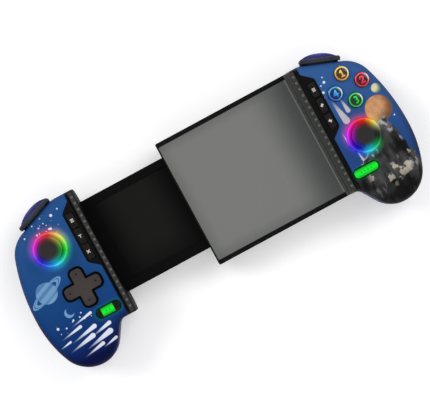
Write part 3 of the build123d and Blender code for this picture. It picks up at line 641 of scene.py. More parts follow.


# Last of each row: the blue of the painted shade down the rims.
BLUES = {
    Hand.LEFT: SkyBlues(tone(34, 80, 138), tone(20, 63, 122), tone(11, 36, 98), tone(0, 10, 60)),
    Hand.RIGHT: SkyBlues(tone(50, 90, 148), tone(38, 72, 130), tone(26, 52, 104), tone(4, 6, 16)),
}
# Tail, head and width at the head of each comet.
COMETS = {
    Hand.LEFT: (
        ((-118.5, -28.0), (-104.8, -25.6), 1.9), ((-109.5, -23.6), (-95.6, -21.0), 1.7),
        ((-113.6, -32.4), (-97.2, -29.2), 2.7), ((-117.2, -37.0), (-100.6, -33.8), 3.0),
        ((-107.6, -39.8), (-90.2, -36.2), 3.4), ((-101.0, -34.2), (-88.4, -31.6), 2.4),
        ((-111.0, -43.4), (-97.6, -40.8), 2.2), ((-98.4, -43.4), (-89.2, -41.4), 1.8),
        ((-122.0, -32.4), (-114.4, -31.0), 1.3),
    ),
    Hand.RIGHT: (
        ((91.8, 23.2), (94.4, 7.4), 4.3), ((97.2, 21.4), (98.2, 12.2), 2.8),
        ((88.4, 2.6), (89.2, -6.4), 1.3), ((91.2, -11.0), (92.2, -18.2), 1.5),
    ),
}
# Specks per millimetre, their radius, the middle of the scatter and how far it spreads.
SCATTERS = {
    Hand.LEFT: (
        (0.6, 0.4, -95.5, 38.0, 10.0), (0.42, 0.36, -93.0, 40.0, 14.0),
        (0.45, 0.4, -101.0, -19.0, 9.0), (0.3, 0.36, -114.0, -20.0, 11.0),
    ),
    Hand.RIGHT: (
        (0.45, 0.4, 91.0, 30.0, 9.0), (0.42, 0.4, 93.0, -15.0, 8.0), (0.3, 0.34, 110.0, 36.0, 12.0),
    ),
}
# Place and radius of each single star.
STARS = {
    Hand.LEFT: (
        (-88.8, 41.6, 0.85), (-92.6, 34.6, 0.75), (-83.6, 43.4, 0.45), (-99.0, 38.2, 0.5),
        (-109.4, 36.6, 0.45), (-117.4, -20.6, 0.8), (-112.6, -22.6, 0.5),
    ),
    Hand.RIGHT: (
        (93.4, 33.9, 0.8), (90.2, 28.6, 0.75), (89.0, 25.6, 0.55), (93.8, 37.0, 0.4),
        (121.4, -3.2, 0.45),
    ),
}
# Place, radius, day side and shaded side of each moon, the farther one first.
MOONS = (
    (119.2, 16.2, 2.9, tone(214, 214, 172), tone(150, 156, 112)),
    (114.8, 4.6, 8.2, tone(208, 154, 112), tone(160, 106, 74)),
)


@dataclass(frozen=True)
class PrintedShell(CentredFinish):
    """Front of a grip: soft-touch blue with a printed night sky, painted shade on its rims and the
    glow of its lights.
    """

    hand: Hand
    edge: float
    pill: Place
    pill_half: Place = (8.1, 3.1)
    pad_arm: Place = (12.4, 4.35)
    pad_round: float = 3.2
    bed_slants: tuple = ((0.868, 0.755), (0.824, 0.772))
    bed_corner: float = 1.6
    print_heights: Place = (25.5, 31.0)
    palm_rows: Place = (-34.0, -40.0)
    face_heights: Place = (32.6, 33.6)
    halo_reach: Place = (16.0, 10.2)
    spill_reach: Place = (2.6, 0.0)
    planet: Place = (-113.2, 1.5)
    planet_radius: float = 6.6
    ring_turn: float = math.radians(24.0)
    ring_flatness: float = 0.27
    black: Colour = tone(7, 8, 10)
    white: Colour = tone(226, 231, 246)
    pale: Colour = tone(120, 164, 206)
    silver: Colour = tone(190, 186, 190)

    def ground(self, graph: Graph) -> Field:
        """Printed blue ground that darkens towards the palm, with painted shade that darkens it
        towards the rims.

        Args:
            graph: The material's graph.

        Returns:
            The ground's colour.
        """
        blues = BLUES[self.hand]
        height = graph.y + (graph.noise(0.035, 3.0) - 0.5) * 24.0
        upper = graph.mix(height.fade(-28.0, 34.0), blues.middle, blues.bright)
        lower = graph.mix(height.fade(-46.0, -16.0), blues.deep, upper)
        # Painted shade: below this height the ground turns to the shaded blue down the side walls.
        floor = graph.y.fade(8.0, -20.0) * 3.4 + 27.2
        fall = (graph.z - floor).share_of(33.9 - floor)
        return graph.mix(fall ** 0.7, blues.shaded_side, lower)

    def comets(self, graph: Graph) -> Field:
        """Mask of this front's comets."""
        return any_of(graph.trail(tail, head, width) for tail, head, width in COMETS[self.hand])

    def dust(self, graph: Graph) -> Field:
        """Star dust in loose scatters, and single larger stars.

        Args:
            graph: The material's graph.

        Returns:
            A mask that is 1 on the specks.
        """
        masks = [graph.disc(*star) for star in STARS[self.hand]]
        for per_mm, radius, x, y, spread in SCATTERS[self.hand]:
            away = graph.cells(per_mm, flat=True)
            pick = graph.step("SeparateColor", "Red", {0: away.other("Color")})
            size = pick.other("Green") * (radius * per_mm * 1.6)
            speck = (away - size).fade(0.1 * per_mm, -0.1 * per_mm) * pick.fade(0.5, 0.56)
            masks.append(speck * graph.reach(x, y).fade(spread, spread * 0.6))
        return any_of(masks)

    def ringed_planet(self, graph: Graph) -> Field:
        """Striped disc in a flat tilted ring with a gap.

        Args:
            graph: The material's graph.

        Returns:
            A mask of the disc and its ring.
        """
        disc = graph.disc(*self.planet, self.planet_radius, 0.3)
        stripes = ((graph.x * -0.42 + graph.y) * 1.35).sine().fade(-0.35, 0.1)
        inputs = {
            "Vector": graph.flat, "Location": (*self.planet, 0.0),
            "Rotation": (0.0, 0.0, self.ring_turn), "Scale": (1.0, self.ring_flatness, 1.0),
        }
        tilted = graph.step("Mapping", "Vector", inputs, vector_type="TEXTURE")
        around = graph.vector("LENGTH", tilted)
        ring = around.fade(13.2, 12.6) * around.fade(8.6, 9.2)
        gap = around.fade(11.6, 11.3) * around.fade(10.7, 11.0)
        in_front = graph.split(tilted)[1].fade(0.6, -0.6) | (1.0 - disc)
        return disc * (stripes | 0.55) | ring * (1.0 - gap) * in_front

    def left_print(self, graph: Graph, ground: Field) -> Field:
        """Ringed planet and crescent over a shower of comets and star dust.

        Args:
            graph: The material's graph.
            ground: The colour under the print.

        Returns:
            The printed colour.
        """
        crescent = graph.disc(-106.8, -15.2, 3.0) * (1.0 - graph.disc(-105.5, -14.2, 2.7))
        picture = self.ringed_planet(graph) | crescent
        painted = graph.mix(picture * 0.88, ground, self.pale)
        return graph.mix(self.comets(graph) | self.dust(graph), painted, self.white)

    def moon(self, graph: Graph, painted: Field, x: float, y: float, radius: float,
             day: Colour, dusk: Colour) -> Field:
        """Paints a moon with soft blotches, shallow craters and a shaded far side.

        Args:
            graph: The material's graph.
            painted: The colour under it.
            x: X of its centre.
            y: Y of its centre.
            radius: Its radius.
            day: Colour of its lit side.
            dusk: Colour of its blotches and craters.

        Returns:
            The colour with the moon on it.
        """
        surface = graph.mix(graph.noise(0.3, 5.0).fade(0.4, 0.66) * 0.4, day, dusk)
        craters = graph.cells(0.34, flat=True).fade(0.3, 0.2)
        surface = graph.mix(craters * 0.35, surface, dusk)
        offset = radius * 0.38
        shaded_side = graph.reach(x - offset, y + offset).fade(radius * 0.6, radius * 1.4)
        dark = tuple(part * 0.35 for part in dusk[:3]) + (1.0,)
        return graph.mix(graph.disc(x, y, radius), painted, graph.mix(shaded_side * 0.85, surface, dark))

    def rock(self, graph: Graph, height: Field) -> Field:
        """Dark rock with silver ledges, pale chips, a snow slope and a bright crest.

        Args:
            graph: The material's graph.
            height: How far a point lies down the ridge.

        Returns:
            The rock's colour.
        """
        cliffs = graph.noise(0.12, 5.0, (1.4, 0.6, 1.0)).fade(0.34, 0.66)
        rock = graph.mix(cliffs, tone(20, 20, 22), tone(76, 75, 76))
        ledge = graph.noise(0.26, 5.0, (1.6, 0.5, 1.0)).fade(0.56, 0.62)
        ledge = ledge * graph.noise(0.07, 2.0).fade(0.44, 0.54)
        rock = graph.mix(ledge * (graph.noise(0.9, 3.0) * 0.8 + 0.1), rock, self.silver)
        broken = (graph.cells(0.16, flat=True) + graph.noise(0.5, 3.0) * 0.5).fade(0.62, 0.56)
        strewn = graph.slab(106.0, -32.0, 14.0, 10.0, 8.0).fade(4.0, -2.0)
        rock = graph.mix(broken * strewn * 0.75, rock, tone(196, 186, 166))
        foot = graph.y + graph.noise(0.1, 3.0) * 14.0
        rock = graph.mix(foot.fade(-39.0, -27.0), graph.mix(0.95, rock, self.black), rock)
        snow = graph.stroke((111.0, 1.0), (115.0, -9.6), 2.4, 1.2)
        snow = snow * graph.noise(0.4, 4.0).fade(0.38, 0.56)
        rock = graph.mix(snow * 0.8, rock, self.silver)
        crest = height.fade(109.2, 109.9) * height.fade(111.4, 110.4)
        return graph.mix(crest * 0.45, rock, self.silver)

    def right_print(self, graph: Graph, ground: Field) -> Field:
        """Dark ridge before two moons, with comets and star dust.

        Args:
            graph: The material's graph.
            ground: The colour under the print.

        Returns:
            The printed colour.
        """
        height = graph.x * 0.95 - graph.y * 1.25 + (graph.noise(0.085, 5.0) - 0.5) * 24.0
        outer = graph.x + graph.y * 0.18 + (graph.noise(0.2, 4.0) - 0.5) * 7.0
        painted = ground
        for moon in MOONS:
            painted = self.moon(graph, painted, *moon)
        ridge = height.fade(109.0, 109.9) * outer.fade(116.9, 116.1)
        painted = graph.mix(ridge, painted, self.rock(graph, height))
        painted = graph.mix(self.comets(graph) * 0.9, painted, tone(204, 200, 204))
        return graph.mix(self.dust(graph), painted, self.white)

    def key_bed(self, graph: Graph) -> Field:
        """Distance in plan from the slanted bed of the three function keys.

        Args:
            graph: The material's graph.

        Returns:
            The distance, which is negative inside.
        """
        low, high = (corner * 1000.0 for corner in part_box(f"{self.hand.value}_key_plate"))
        from_edge = abs(graph.x) - (self.edge + 0.3)
        sides = from_edge - (high.x - low.x)
        (fall, high_lean), (rise, low_lean) = self.bed_slants
        upper = (graph.y - high.y) + from_edge * fall
        lower = (from_edge * rise + low.y) - graph.y
        for slanted in (upper * high_lean, lower * low_lean):
            sides = graph.math("SMOOTH_MAX", sides, slanted, self.bed_corner)
        return sides

    def pill_hole(self, graph: Graph) -> Field:
        """Distance in plan from the hole of the pill key."""
        half_x, half_y = self.pill_half
        return graph.slab(*self.pill, half_x, half_y, half_y)

    def seam(self, graph: Graph) -> Field:
        """Black lines where the shell meets the jaw, the key bed, the pad and the pill key.

        Args:
            graph: The material's graph.

        Returns:
            A mask that is 1 on the lines.
        """
        lines = abs(graph.x).fade(self.edge + 1.1, self.edge + 0.7)
        lines = lines | self.key_bed(graph).fade(0.5, 0.2) | self.pill_hole(graph).fade(0.6, 0.3)
        if self.hand is Hand.RIGHT:
            return lines
        pad, (long, short) = middle("dpad_cap"), self.pad_arm
        across = graph.slab(*pad, long, short, self.pad_round)
        upright = graph.slab(*pad, short, long, self.pad_round)
        return lines | graph.math("MINIMUM", across, upright).fade(1.0, 0.6)

    def lay_out(self, graph: Graph) -> None:
        """Lays the print on the ground, keeps it off the side walls and adds the lights' glow.

        Args:
            graph: The material's graph.
        """
        ground = self.ground(graph)
        shown = graph.z.fade(*self.print_heights)
        if self.hand is Hand.LEFT:
            printed = self.left_print(graph, ground)
        else:
            printed = self.right_print(graph, ground)
            shown = shown | graph.y.fade(*self.palm_rows)
        colour = graph.mix(shown, ground, printed)
        colour = graph.mix(self.seam(graph), colour, self.black)
        face = graph.z.fade(*self.face_heights)
        halo = graph.reach(self.x, self.y).fade(*self.halo_reach) ** 1.7 * face
        spill = self.pill_hole(graph).fade(*self.spill_reach) * face
        graph.bump(graph.noise(4.5, 3.0), 0.018, 0.5)
        graph.finish(
            Base_Color=colour, Roughness=graph.noise(0.25, 3.0) * 0.18 + 0.4,
            Specular_IOR_Level=0.05, Emission_Strength=halo * 0.34 | spill * 0.07,
            Emission_Color=graph.mix(spill, self.hue(graph), tone(0, 200, 50)),
        )


@dataclass(frozen=True)
class BackShell(Finish):
    """Back of a grip: navy with a field of fine grip dots on the palm."""

    colour: Colour = tone(24, 44, 112)
    shade: Colour = tone(12, 22, 66)
    rubbed: Colour = tone(40, 66, 140)
    palm_heights: Place = (12.0, 7.0)
    palm_sides: Place = (88.0, 96.0)

    def lay_out(self, graph: Graph) -> None:
        """Lays out the dots, the mould grain, the rubbed palm and painted shade that darkens the
        shell towards its bottom.

        Args:
            graph: The material's graph.
        """
        palm = graph.z.fade(*self.palm_heights) * abs(graph.x).fade(*self.palm_sides)
        graph.bump(graph.noise(4.5, 3.0), 0.018, 0.5)
        graph.bump(graph.cells(0.55).fade(0.42, 0.25) * palm, 0.25, 0.8)
        # Painted shade: darker towards the bottom of the back, near the floor.
        colour = graph.mix(graph.z.fade(4.0, 20.0), self.shade, self.colour)
        wear = graph.noise(0.08, 4.0).fade(0.4, 0.7) * 0.14
        graph.finish(
            Base_Color=graph.mix(wear, colour, self.rubbed),
            Roughness=graph.noise(0.3, 3.0) * 0.2 + 0.42, Specular_IOR_Level=0.15,
        )


# Ends of each numeral's strokes, and the height, radius, kept side and cut of its arcs.
NUMERAL_STROKES = {
    1: ((0.1, -1.9, 0.1, 1.9), (0.1, 1.9, -0.9, 1.0), (-0.8, -1.9, 1.0, -1.9)),
    2: ((0.9, 0.45, -1.0, -1.9), (-1.0, -1.9, 1.15, -1.9)),
    4: ((0.55, -1.95, 0.55, 1.95), (0.55, 1.95, -1.3, -0.7), (-1.3, -0.7, 1.4, -0.7)),
}
NUMERAL_ARCS = {
    2: ((0.85, 1.05, (0.0, 1.0), -0.25),),
    3: ((1.0, 0.95, (0.87, 0.5), -0.35), (-0.95, 1.0, (0.87, -0.5), -0.35)),
}


@dataclass(frozen=True)
class FaceButton(CentredFinish):
    """Clear domed button over a black disc with a coloured ring and a plain numeral."""

    # Lit colour and painted shade colour of the ring and numeral.
    colour: Colour
    shade: Colour
    numeral: int
    radius: float = 4.5
    line: float = 0.85

    def figure(self, graph: Graph) -> Field:
        """The button's numeral.

        Args:
            graph: The material's graph.

        Returns:
            A mask that is 1 on the numeral.
        """
        masks = [
            graph.arc(self.x, self.y + height, radius, self.line, side, cut)
            for height, radius, side, cut in NUMERAL_ARCS.get(self.numeral, ())
        ]
        if self.numeral in NUMERAL_STROKES:
            rows = NUMERAL_STROKES[self.numeral]
            masks.append(graph.strokes(self.x, self.y, rows, self.line, 0.15))
        return any_of(masks)

    def lay_out(self, graph: Graph) -> None:
        """Lays out the ring, the numeral, the bowl under the dome with a painted highlight, the
        outer edge painted dark as shade, painted light that pales the colour towards the upper
        right and a painted glow on the ring and numeral.

        Args:
            graph: The material's graph.
        """
        ring = graph.band(self.x, self.y, self.radius - 0.75, 0.7)
        numeral = self.figure(graph)
        lean, reach = self.lean(graph), graph.reach(self.x, self.y)
        # Painted light: the colour runs from the shaded tone at the lower left to the lit one at
        # the upper right.
        hue = graph.mix(lean.fade(-4.0, 4.0), self.shade, self.colour)
        well = graph.mix(0.12, tone(2, 2, 3), self.shade)
        # Painted highlight in the bowl, towards the upper right.
        centre = graph.mix(reach.fade(1.0, 3.6) * lean.fade(-3.0, 3.0), well, tone(30, 29, 31))
        body = graph.mix(ring | numeral, centre, hue)
        # Painted shade on the outer edge of the dome.
        edge = graph.mix(0.25, tone(14, 14, 16), hue)
        body = graph.mix(reach.fade(self.radius - 0.4, self.radius - 0.15), body, edge)
        graph.bump(graph.noise(0.8, 2.0), 0.01, 0.3)
        # The emission is a painted glow on the ring and numeral.
        graph.finish(
            Base_Color=body, Roughness=0.2, Coat_Weight=0.6, Coat_Roughness=0.04, IOR=1.49,
            Specular_IOR_Level=0.25, Emission_Color=hue,
            Emission_Strength=(ring * 0.5 | numeral) * 0.3,
        )


@dataclass(frozen=True)
class MarkedKey(CentredFinish):
    """Dark function key with a small printed mark."""

    rows: tuple
    colour: Colour = tone(28, 25, 23)
    shade: Colour = tone(19, 17, 16)
    ink: Colour = tone(208, 206, 202)
    line: float = 0.42
    top: Place = (34.2, 34.6)

    def lay_out(self, graph: Graph) -> None:
        """Lays out the grain and the mark on the key's top, with a faint painted glow on the mark.

        Args:
            graph: The material's graph.
        """
        mark = graph.strokes(self.x, self.y, self.rows, self.line, 0.12)
        mark = mark * graph.z.fade(*self.top)
        mottling = graph.noise(0.3, 3.0).fade(0.3, 0.7)
        base = graph.mix(mottling, self.colour, self.shade)
        graph.bump(graph.noise(5.0, 3.0), 0.015, 0.5)
        # The mark's emission is a faint painted glow.
        graph.finish(
            Base_Color=graph.mix(mark, base, self.ink), Roughness=0.42, Specular_IOR_Level=0.16,
            Emission_Color=self.ink, Emission_Strength=mark * 0.12,
        )


@dataclass(frozen=True)
class LitKey(CentredFinish):
    """Pill key whose window is lit green, with small pips in place of wording."""

    window: float
    shift: float
    pips: int
    pip_step: float = 2.2
    pip_radius: float = 0.42
    top: Place = (33.2, 34.2)
    rim_top: Place = (34.1, 34.5)
    green: Colour = tone(0, 235, 45)

    def lay_out(self, graph: Graph) -> None:
        """Lays out the lit window, its dark rim and pips, and the black ends.

        Args:
            graph: The material's graph.
        """
        half, centre = self.window / 2, self.x + self.shift
        window = abs(graph.x - centre).fade(half + 0.15, half - 0.25)
        window = window * graph.z.fade(*self.top)
        first = centre - (self.pips - 1) * self.pip_step / 2
        places = (first + self.pip_step * index for index in range(self.pips))
        dots = any_of(graph.disc(x, self.y, self.pip_radius, 0.15) for x in places)
        cross = abs(graph.y - self.y)
        green = graph.mix(cross.fade(2.6, 0.4), tone(0, 165, 30), self.green)
        rim = cross.fade(2.75, 2.3) * graph.z.fade(*self.rim_top)
        green = graph.mix(rim, tone(0, 88, 18), green)
        body = graph.mix(window, tone(12, 13, 12), green)
        body = graph.mix(dots * 0.7, body, tone(0, 60, 12))
        graph.bump(graph.noise(2.5, 2.0), 0.015, 0.4)
        graph.finish(
            Base_Color=graph.mix(0.55, body, tone(4, 20, 6)), Roughness=0.28,
            Coat_Weight=0.15, Coat_Roughness=0.1, Specular_IOR_Level=0.2,
            Emission_Color=green, Emission_Strength=window * (1.0 - dots * 0.75) * 0.62,
        )


@dataclass(frozen=True)
class CrossPad(CentredFinish):
    """Brown-grey direction pad with a small dark pip near each end."""

    pip_reach: float = 8.6
    pip_radius: float = 0.6
    flanks: Place = (34.3, 35.1)

    def lay_out(self, graph: Graph) -> None:
        """Lays out the pips, a lighter middle, the grain and the flanks painted dark as shade.

        Args:
            graph: The material's graph.
        """
        away = self.pip_reach
        ends = ((away, 0.0), (-away, 0.0), (0.0, away), (0.0, -away))
        pips = any_of(
            graph.disc(self.x + dx, self.y + dy, self.pip_radius, 0.2) for dx, dy in ends
        )
        lighter_middle = graph.reach(self.x, self.y).fade(12.0, 3.0)
        base = graph.mix(lighter_middle * 0.5, tone(60, 54, 52), tone(70, 64, 62))
        graph.bump(graph.noise(4.0, 3.0), 0.02, 0.5)
        graph.bump(1.0 - pips, 0.2, 0.6)
        # Painted shade: the flanks below the top are painted near-black.
        base = graph.mix(graph.z.fade(*self.flanks), tone(12, 11, 11), base)
        graph.finish(
            Base_Color=graph.mix(pips, base, tone(18, 16, 16)), Roughness=0.5,
            Specular_IOR_Level=0.15,
        )


@dataclass(frozen=True)
class StickRubber(CentredFinish):
    """Thumb-stick rubber: a knurled rim round a smoother dish, tinted by the ring's light."""

    ribs: int = 44
    rim: Place = (6.2, 6.7)
    dish: Place = (6.6, 4.4)
    stem_heights: Place = (39.0, 36.0)

    def lay_out(self, graph: Graph) -> None:
        """Lays out the rim's ribs, the dish's lighter centre, painted shade on the stem below the
        cap and the painted light from the ring.

        Args:
            graph: The material's graph.
        """
        reach = graph.reach(self.x, self.y)
        ribs = (graph.bearing(self.x, self.y) * float(self.ribs)).sine()
        graph.bump(graph.noise(3.5, 3.0), 0.03, 0.5)
        graph.bump(ribs * reach.fade(*self.rim), 0.18, 0.5)
        base = graph.mix(reach.fade(*self.dish), tone(18, 15, 16), tone(46, 43, 43))
        # Painted shade: darker on the stem below the cap.
        base = graph.mix(graph.z.fade(*self.stem_heights), base, tone(10, 9, 10))
        graph.finish(
            Base_Color=base, Roughness=0.66, Specular_IOR_Level=0.12,
            Emission_Color=self.hue(graph),
            Emission_Strength=(reach - 4.2).share_of(5.0) ** 1.7 * 0.75,
        )


@dataclass(frozen=True)
class RingCollar(CentredFinish):
    """Inner wall of the light guide, which the ring lights from its rim inwards."""

    lit: Place = (7.4, 9.2)

    def lay_out(self, graph: Graph) -> None:
        """Lays out the hue and its fall towards the stick.

        Args:
            graph: The material's graph.
        """
        hue = self.hue(graph)
        graph.bump(graph.noise(2.5, 2.0), 0.02, 0.4)
        graph.finish(
            Base_Color=graph.mix(0.88, hue, tone(6, 6, 6)), Roughness=0.4,
            Specular_IOR_Level=0.15, Emission_Color=hue,
            Emission_Strength=graph.reach(self.x, self.y).fade(*self.lit) * 0.34 + 0.24,
        )


@dataclass(frozen=True)
class StickWell(CentredFinish):
    """Black housing of a stick, with the ring's light on what shows in its mouth."""

    mouth_reach: Place = (5.6, 7.6)
    mouth_heights: Place = (24.0, 28.0)

    def lay_out(self, graph: Graph) -> None:
        """Lays out the moulding's grain and the light that falls into the mouth.

        Args:
            graph: The material's graph.
        """
        grain = graph.noise(1.6, 4.0)
        graph.bump(grain, 0.03, 0.5)
        mouth = graph.reach(self.x, self.y).fade(*self.mouth_reach)
        mouth = mouth * graph.z.fade(*self.mouth_heights)
        graph.finish(
            Base_Color=graph.mix(grain.fade(0.35, 0.7), tone(20, 20, 22), tone(34, 34, 36)),
            Roughness=0.45, Specular_IOR_Level=0.2, Emission_Color=self.hue(graph),
            Emission_Strength=mouth * 0.3,
        )


@dataclass(frozen=True)
class BezelGloss(CentredFinish):
    """Coloured glossy ring round a face button, with painted light from the upper right and a
    painted glint at its right.
    """

    colour: Colour
    shade: Colour

    def lay_out(self, graph: Graph) -> None:
        """Lays out the painted light that falls from the pale lit side to the deep shaded one, the
        painted glint, fine swirls and a faint painted glow.

        Args:
            graph: The material's graph.
        """
        # Painted light: pale towards the upper right, deep towards the lower left.
        hue = graph.mix(self.lean(graph).fade(-5.5, 2.5), self.shade, self.colour)
        # Painted glint at the right of the ring.
        glint = (graph.x - self.x).fade(2.2, 4.0) * graph.y.fade(self.y - 2.6, self.y - 0.6)
        hue = graph.mix(glint * 0.8, hue, tone(226, 228, 232))
        swirl = graph.noise(1.2, 2.0)
        hue = graph.mix(swirl.fade(0.5, 0.8) * 0.2, hue, tone(235, 235, 235))
        graph.bump(swirl, 0.01, 0.3)
        # The emission is a faint painted glow.
        graph.finish(
            Base_Color=hue, Roughness=0.22, Coat_Weight=0.5, Coat_Roughness=0.05,
            Specular_IOR_Level=0.3, Emission_Color=hue, Emission_Strength=0.12,
        )


@dataclass(frozen=True)
class SatinPlate(Finish):
    """Satin grey plate with a broad soft painted reflection gradient, painted shade along its long
    rims and hair-fine brushing.
    """

    # Colours of the painted reflection gradient, from the lightest to the darkest.
    light: Colour = tone(121, 122, 119)
    dim: Colour = tone(104, 106, 103)
    dark: Colour = tone(84, 87, 86)
    left_dim: Place = (-16.0, -4.0)
    right_dim: Place = (45.0, 70.0)
    edge_highlight: tuple = (73.3, 73.6, 74.1, 74.4)

    def lay_out(self, graph: Graph) -> None:
        """Lays out the painted reflection gradient, the painted shade towards the rims, the
        brushing, the scratches and a painted highlight line along the edge at one end.

        Args:
            graph: The material's graph.
        """
        graph.bump(graph.noise(2.2, 4.0, (0.12, 3.0, 1.0)), 0.006, 0.4)
        # Painted reflection: a broad gradient across the plate.
        across = graph.x + (graph.noise(0.02, 2.0) - 0.5) * 6.0
        body = graph.mix(across.fade(*self.left_dim), self.dim, self.light)
        body = graph.mix(across.fade(*self.right_dim), body, self.dark)
        # Painted shade towards the plate's long rims.
        rims = graph.y.fade(40.0, 47.0) | graph.y.fade(-22.0, -30.0)
        body = graph.mix(rims * 0.4, body, self.dark)
        scratches = graph.noise(0.5, 4.0, (4.0, 0.1, 1.0)).fade(0.62, 0.7)
        body = graph.mix(scratches * 0.06, body, tone(160, 162, 160))
        # Painted highlight along the plate's edge at its right end.
        first, start, end, last = self.edge_highlight
        line = graph.x.fade(first, start) * graph.x.fade(last, end)
        body = graph.mix(line * 0.5, body, tone(150, 152, 150))
        graph.finish(Base_Color=body, Roughness=0.5, Specular_IOR_Level=0.14)


@dataclass(frozen=True)
class SliderTray(Finish):
    """Slide of the bridge: black rims round a charcoal panel, with painted shade that darkens the
    panel towards its ends.
    """

    rim: Colour = tone(6, 6, 7)
    panel: Colour = tone(24, 24, 23)
    left_end: Place = (-68.0, -48.0)
    right_end: Place = (-16.0, -34.0)
    rows: Place = (-24.0, 4.0)
    sunk: Place = (17.1, 16.3)

    def lay_out(self, graph: Graph) -> None:
        """Lays out the panel, the painted shade that darkens it towards its ends, and the grain.

        Args:
            graph: The material's graph.
        """
        # Painted shade: the panel darkens towards both ends and towards lower Y.
        centre = graph.x.fade(*self.left_end) * graph.x.fade(*self.right_end)
        panel = graph.mix(centre * graph.y.fade(*self.rows), tone(8, 8, 8), self.panel)
        graph.bump(graph.noise(4.0, 3.0), 0.015, 0.5)
        graph.finish(
            Base_Color=graph.mix(graph.z.fade(*self.sunk), self.rim, panel),
            Roughness=graph.noise(0.4, 3.0) * 0.16 + 0.44, Specular_IOR_Level=0.07,
        )


@dataclass(frozen=True)
class RimmedPlastic(Finish):
    """Black plastic whose top rim between two lines matches the grey plate beside it."""

    near: float
    beyond: float
    low: float
    colour: Colour = tone(9, 9, 9)
    rim: Colour = tone(84, 86, 84)

    def lay_out(self, graph: Graph) -> None:
        """Lays out the grey rim and the grain.

        Args:
            graph: The material's graph.
        """
        strip = graph.x.fade(self.near - 0.1, self.near + 0.1)
        strip = strip * graph.x.fade(self.beyond + 0.1, self.beyond - 0.1)
        strip = strip * graph.z.fade(self.low, self.low + 0.4)
        worn = graph.noise(0.4, 4.0).fade(0.4, 0.65)
        rim = graph.mix(worn, self.rim, tone(74, 76, 74))
        plain = graph.mix(worn, self.colour, tone(15, 15, 15))
        graph.bump(graph.noise(5.0, 3.0), 0.015, 0.5)
        graph.finish(
            Base_Color=graph.mix(strip, plain, rim), Roughness=worn * 0.08 + 0.44,
            Specular_IOR_Level=0.1,
        )


@dataclass(frozen=True)
class JawRubber(Finish):
    """Grip strip of a jaw: worn grey rubber with paler nubs."""

    near: float
    far: float
    colour: Colour
    leg: Colour
    dust: Colour = tone(60, 60, 59)
    nub: Colour = tone(92, 93, 91)
    nub_tops: Place = (34.05, 34.2)
    leg_top: Place = (33.6, 32.6)

    def lay_out(self, graph: Graph) -> None:
        """Lays out the worn patches, the nubs' tops, the leg, painted black as shade on the left
        jaw, and the edges painted black as shade.

        Args:
            graph: The material's graph.
        """
        graph.bump(graph.cells(3.2), 0.04, 0.5)
        colour = graph.mix(graph.noise(0.5, 5.0).fade(0.42, 0.64), self.colour, self.dust)
        colour = graph.mix(graph.z.fade(*self.nub_tops), colour, self.nub)
        # The left leg colour is painted shade; the right one is painted grey to match the plate.
        colour = graph.mix(graph.z.fade(*self.leg_top), colour, self.leg)
        # Painted shade: black along both edges of the strip.
        inward = abs(graph.x)
        border = inward.fade(self.far - 0.3, self.far + 0.2)
        border = border | inward.fade(self.near + 0.2, self.near - 0.3)
        graph.finish(
            Base_Color=graph.mix(border, colour, tone(8, 9, 10)), Roughness=0.7,
            Specular_IOR_Level=0.05,
        )


@dataclass(frozen=True)
class CircuitBoard(Finish):
    """Green board with copper tracks under solder mask and small pads."""

    def lay_out(self, graph: Graph) -> None:
        """Lays out the tracks, the pads and the weave of the laminate.

        Args:
            graph: The material's graph.
        """
        line = graph.cells(0.5, "DISTANCE_TO_EDGE").fade(0.07, 0.04)
        pad = graph.cells(0.4).fade(0.16, 0.13)
        base = graph.mix(graph.noise(0.4, 3.0), tone(12, 74, 38), tone(20, 96, 50))
        base = graph.mix(line, base, tone(46, 130, 66))
        base = graph.mix(pad, base, tone(206, 178, 96))
        graph.bump(line | pad, 0.04, 0.6)
        graph.finish(Base_Color=base, Roughness=0.35, Coat_Weight=0.3)


PLAIN_FINISHES = {
    "jaw_black": Moulded("jaw_plastic", tone(5, 5, 6), tone(9, 9, 9), 0.55, 0.04),
    "key_black": Moulded("key_bed_plastic", tone(8, 7, 7), tone(12, 11, 10), 0.36, 0.12),
    "module_black": Moulded("gimbal_plastic", tone(22, 22, 24), tone(34, 34, 36), 0.4),
    "nylon_white": Moulded("slide_nylon", tone(214, 212, 202), tone(196, 193, 180)),
    "membrane_grey": Rubber("contact_rubber", tone(150, 152, 156), tone(132, 134, 140)),
    "battery_wrap": Moulded("cell_wrap", tone(52, 92, 168), tone(44, 80, 150), 0.28, coat=0.5),
    "case_black": Moulded("bridge_plastic", tone(9, 9, 9), tone(14, 14, 14), 0.46, 0.1),
    "trigger_indigo": Moulded("trigger_plastic", tone(30, 32, 116), tone(18, 20, 84), 0.4, 0.12),
    "bumper_charcoal": Moulded("bumper_plastic", tone(48, 52, 62), tone(36, 40, 50), 0.5, 0.2),
    "pad_dark": Moulded("pad_bracket_plastic", tone(40, 37, 36), tone(30, 28, 27)),
    "pin_steel": Metal("pin_metal", tone(190, 192, 196), Shine.POLISHED),
    "screw_steel": Metal("screw_metal", tone(150, 152, 156), Shine.BRUSHED),
    "spring_steel": Metal("spring_metal", tone(176, 180, 186), Shine.POLISHED, (0.3, 0.3, 5.0)),
    "board_green": CircuitBoard("board_laminate"),
    "ribbon_amber": Moulded(
        "flat_cable_film", tone(176, 104, 34), tone(150, 84, 26), 0.3, coat=0.6
    ),
}


def screw_axes(node: str, spacing: float = 5.0) -> tuple[Place, ...]:
    """Finds where the screws of one node stand.

    Args:
        node: Name of the CAD node.
        spacing: Least distance between two screws.

    Returns:
        X and Y of each screw's axis.
    """
    groups: list[list[Vector]] = []
    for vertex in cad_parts[node].data.vertices:
        place = vertex.co.xy * 1000.0
        near = next((group for group in groups if (group[0] - place).length < spacing), None)
        if near is None:
            groups.append([place])
        else:
            near.append(place)
    return tuple(
        tuple((min(values) + max(values)) / 2 for values in zip(*group)) for group in groups
    )


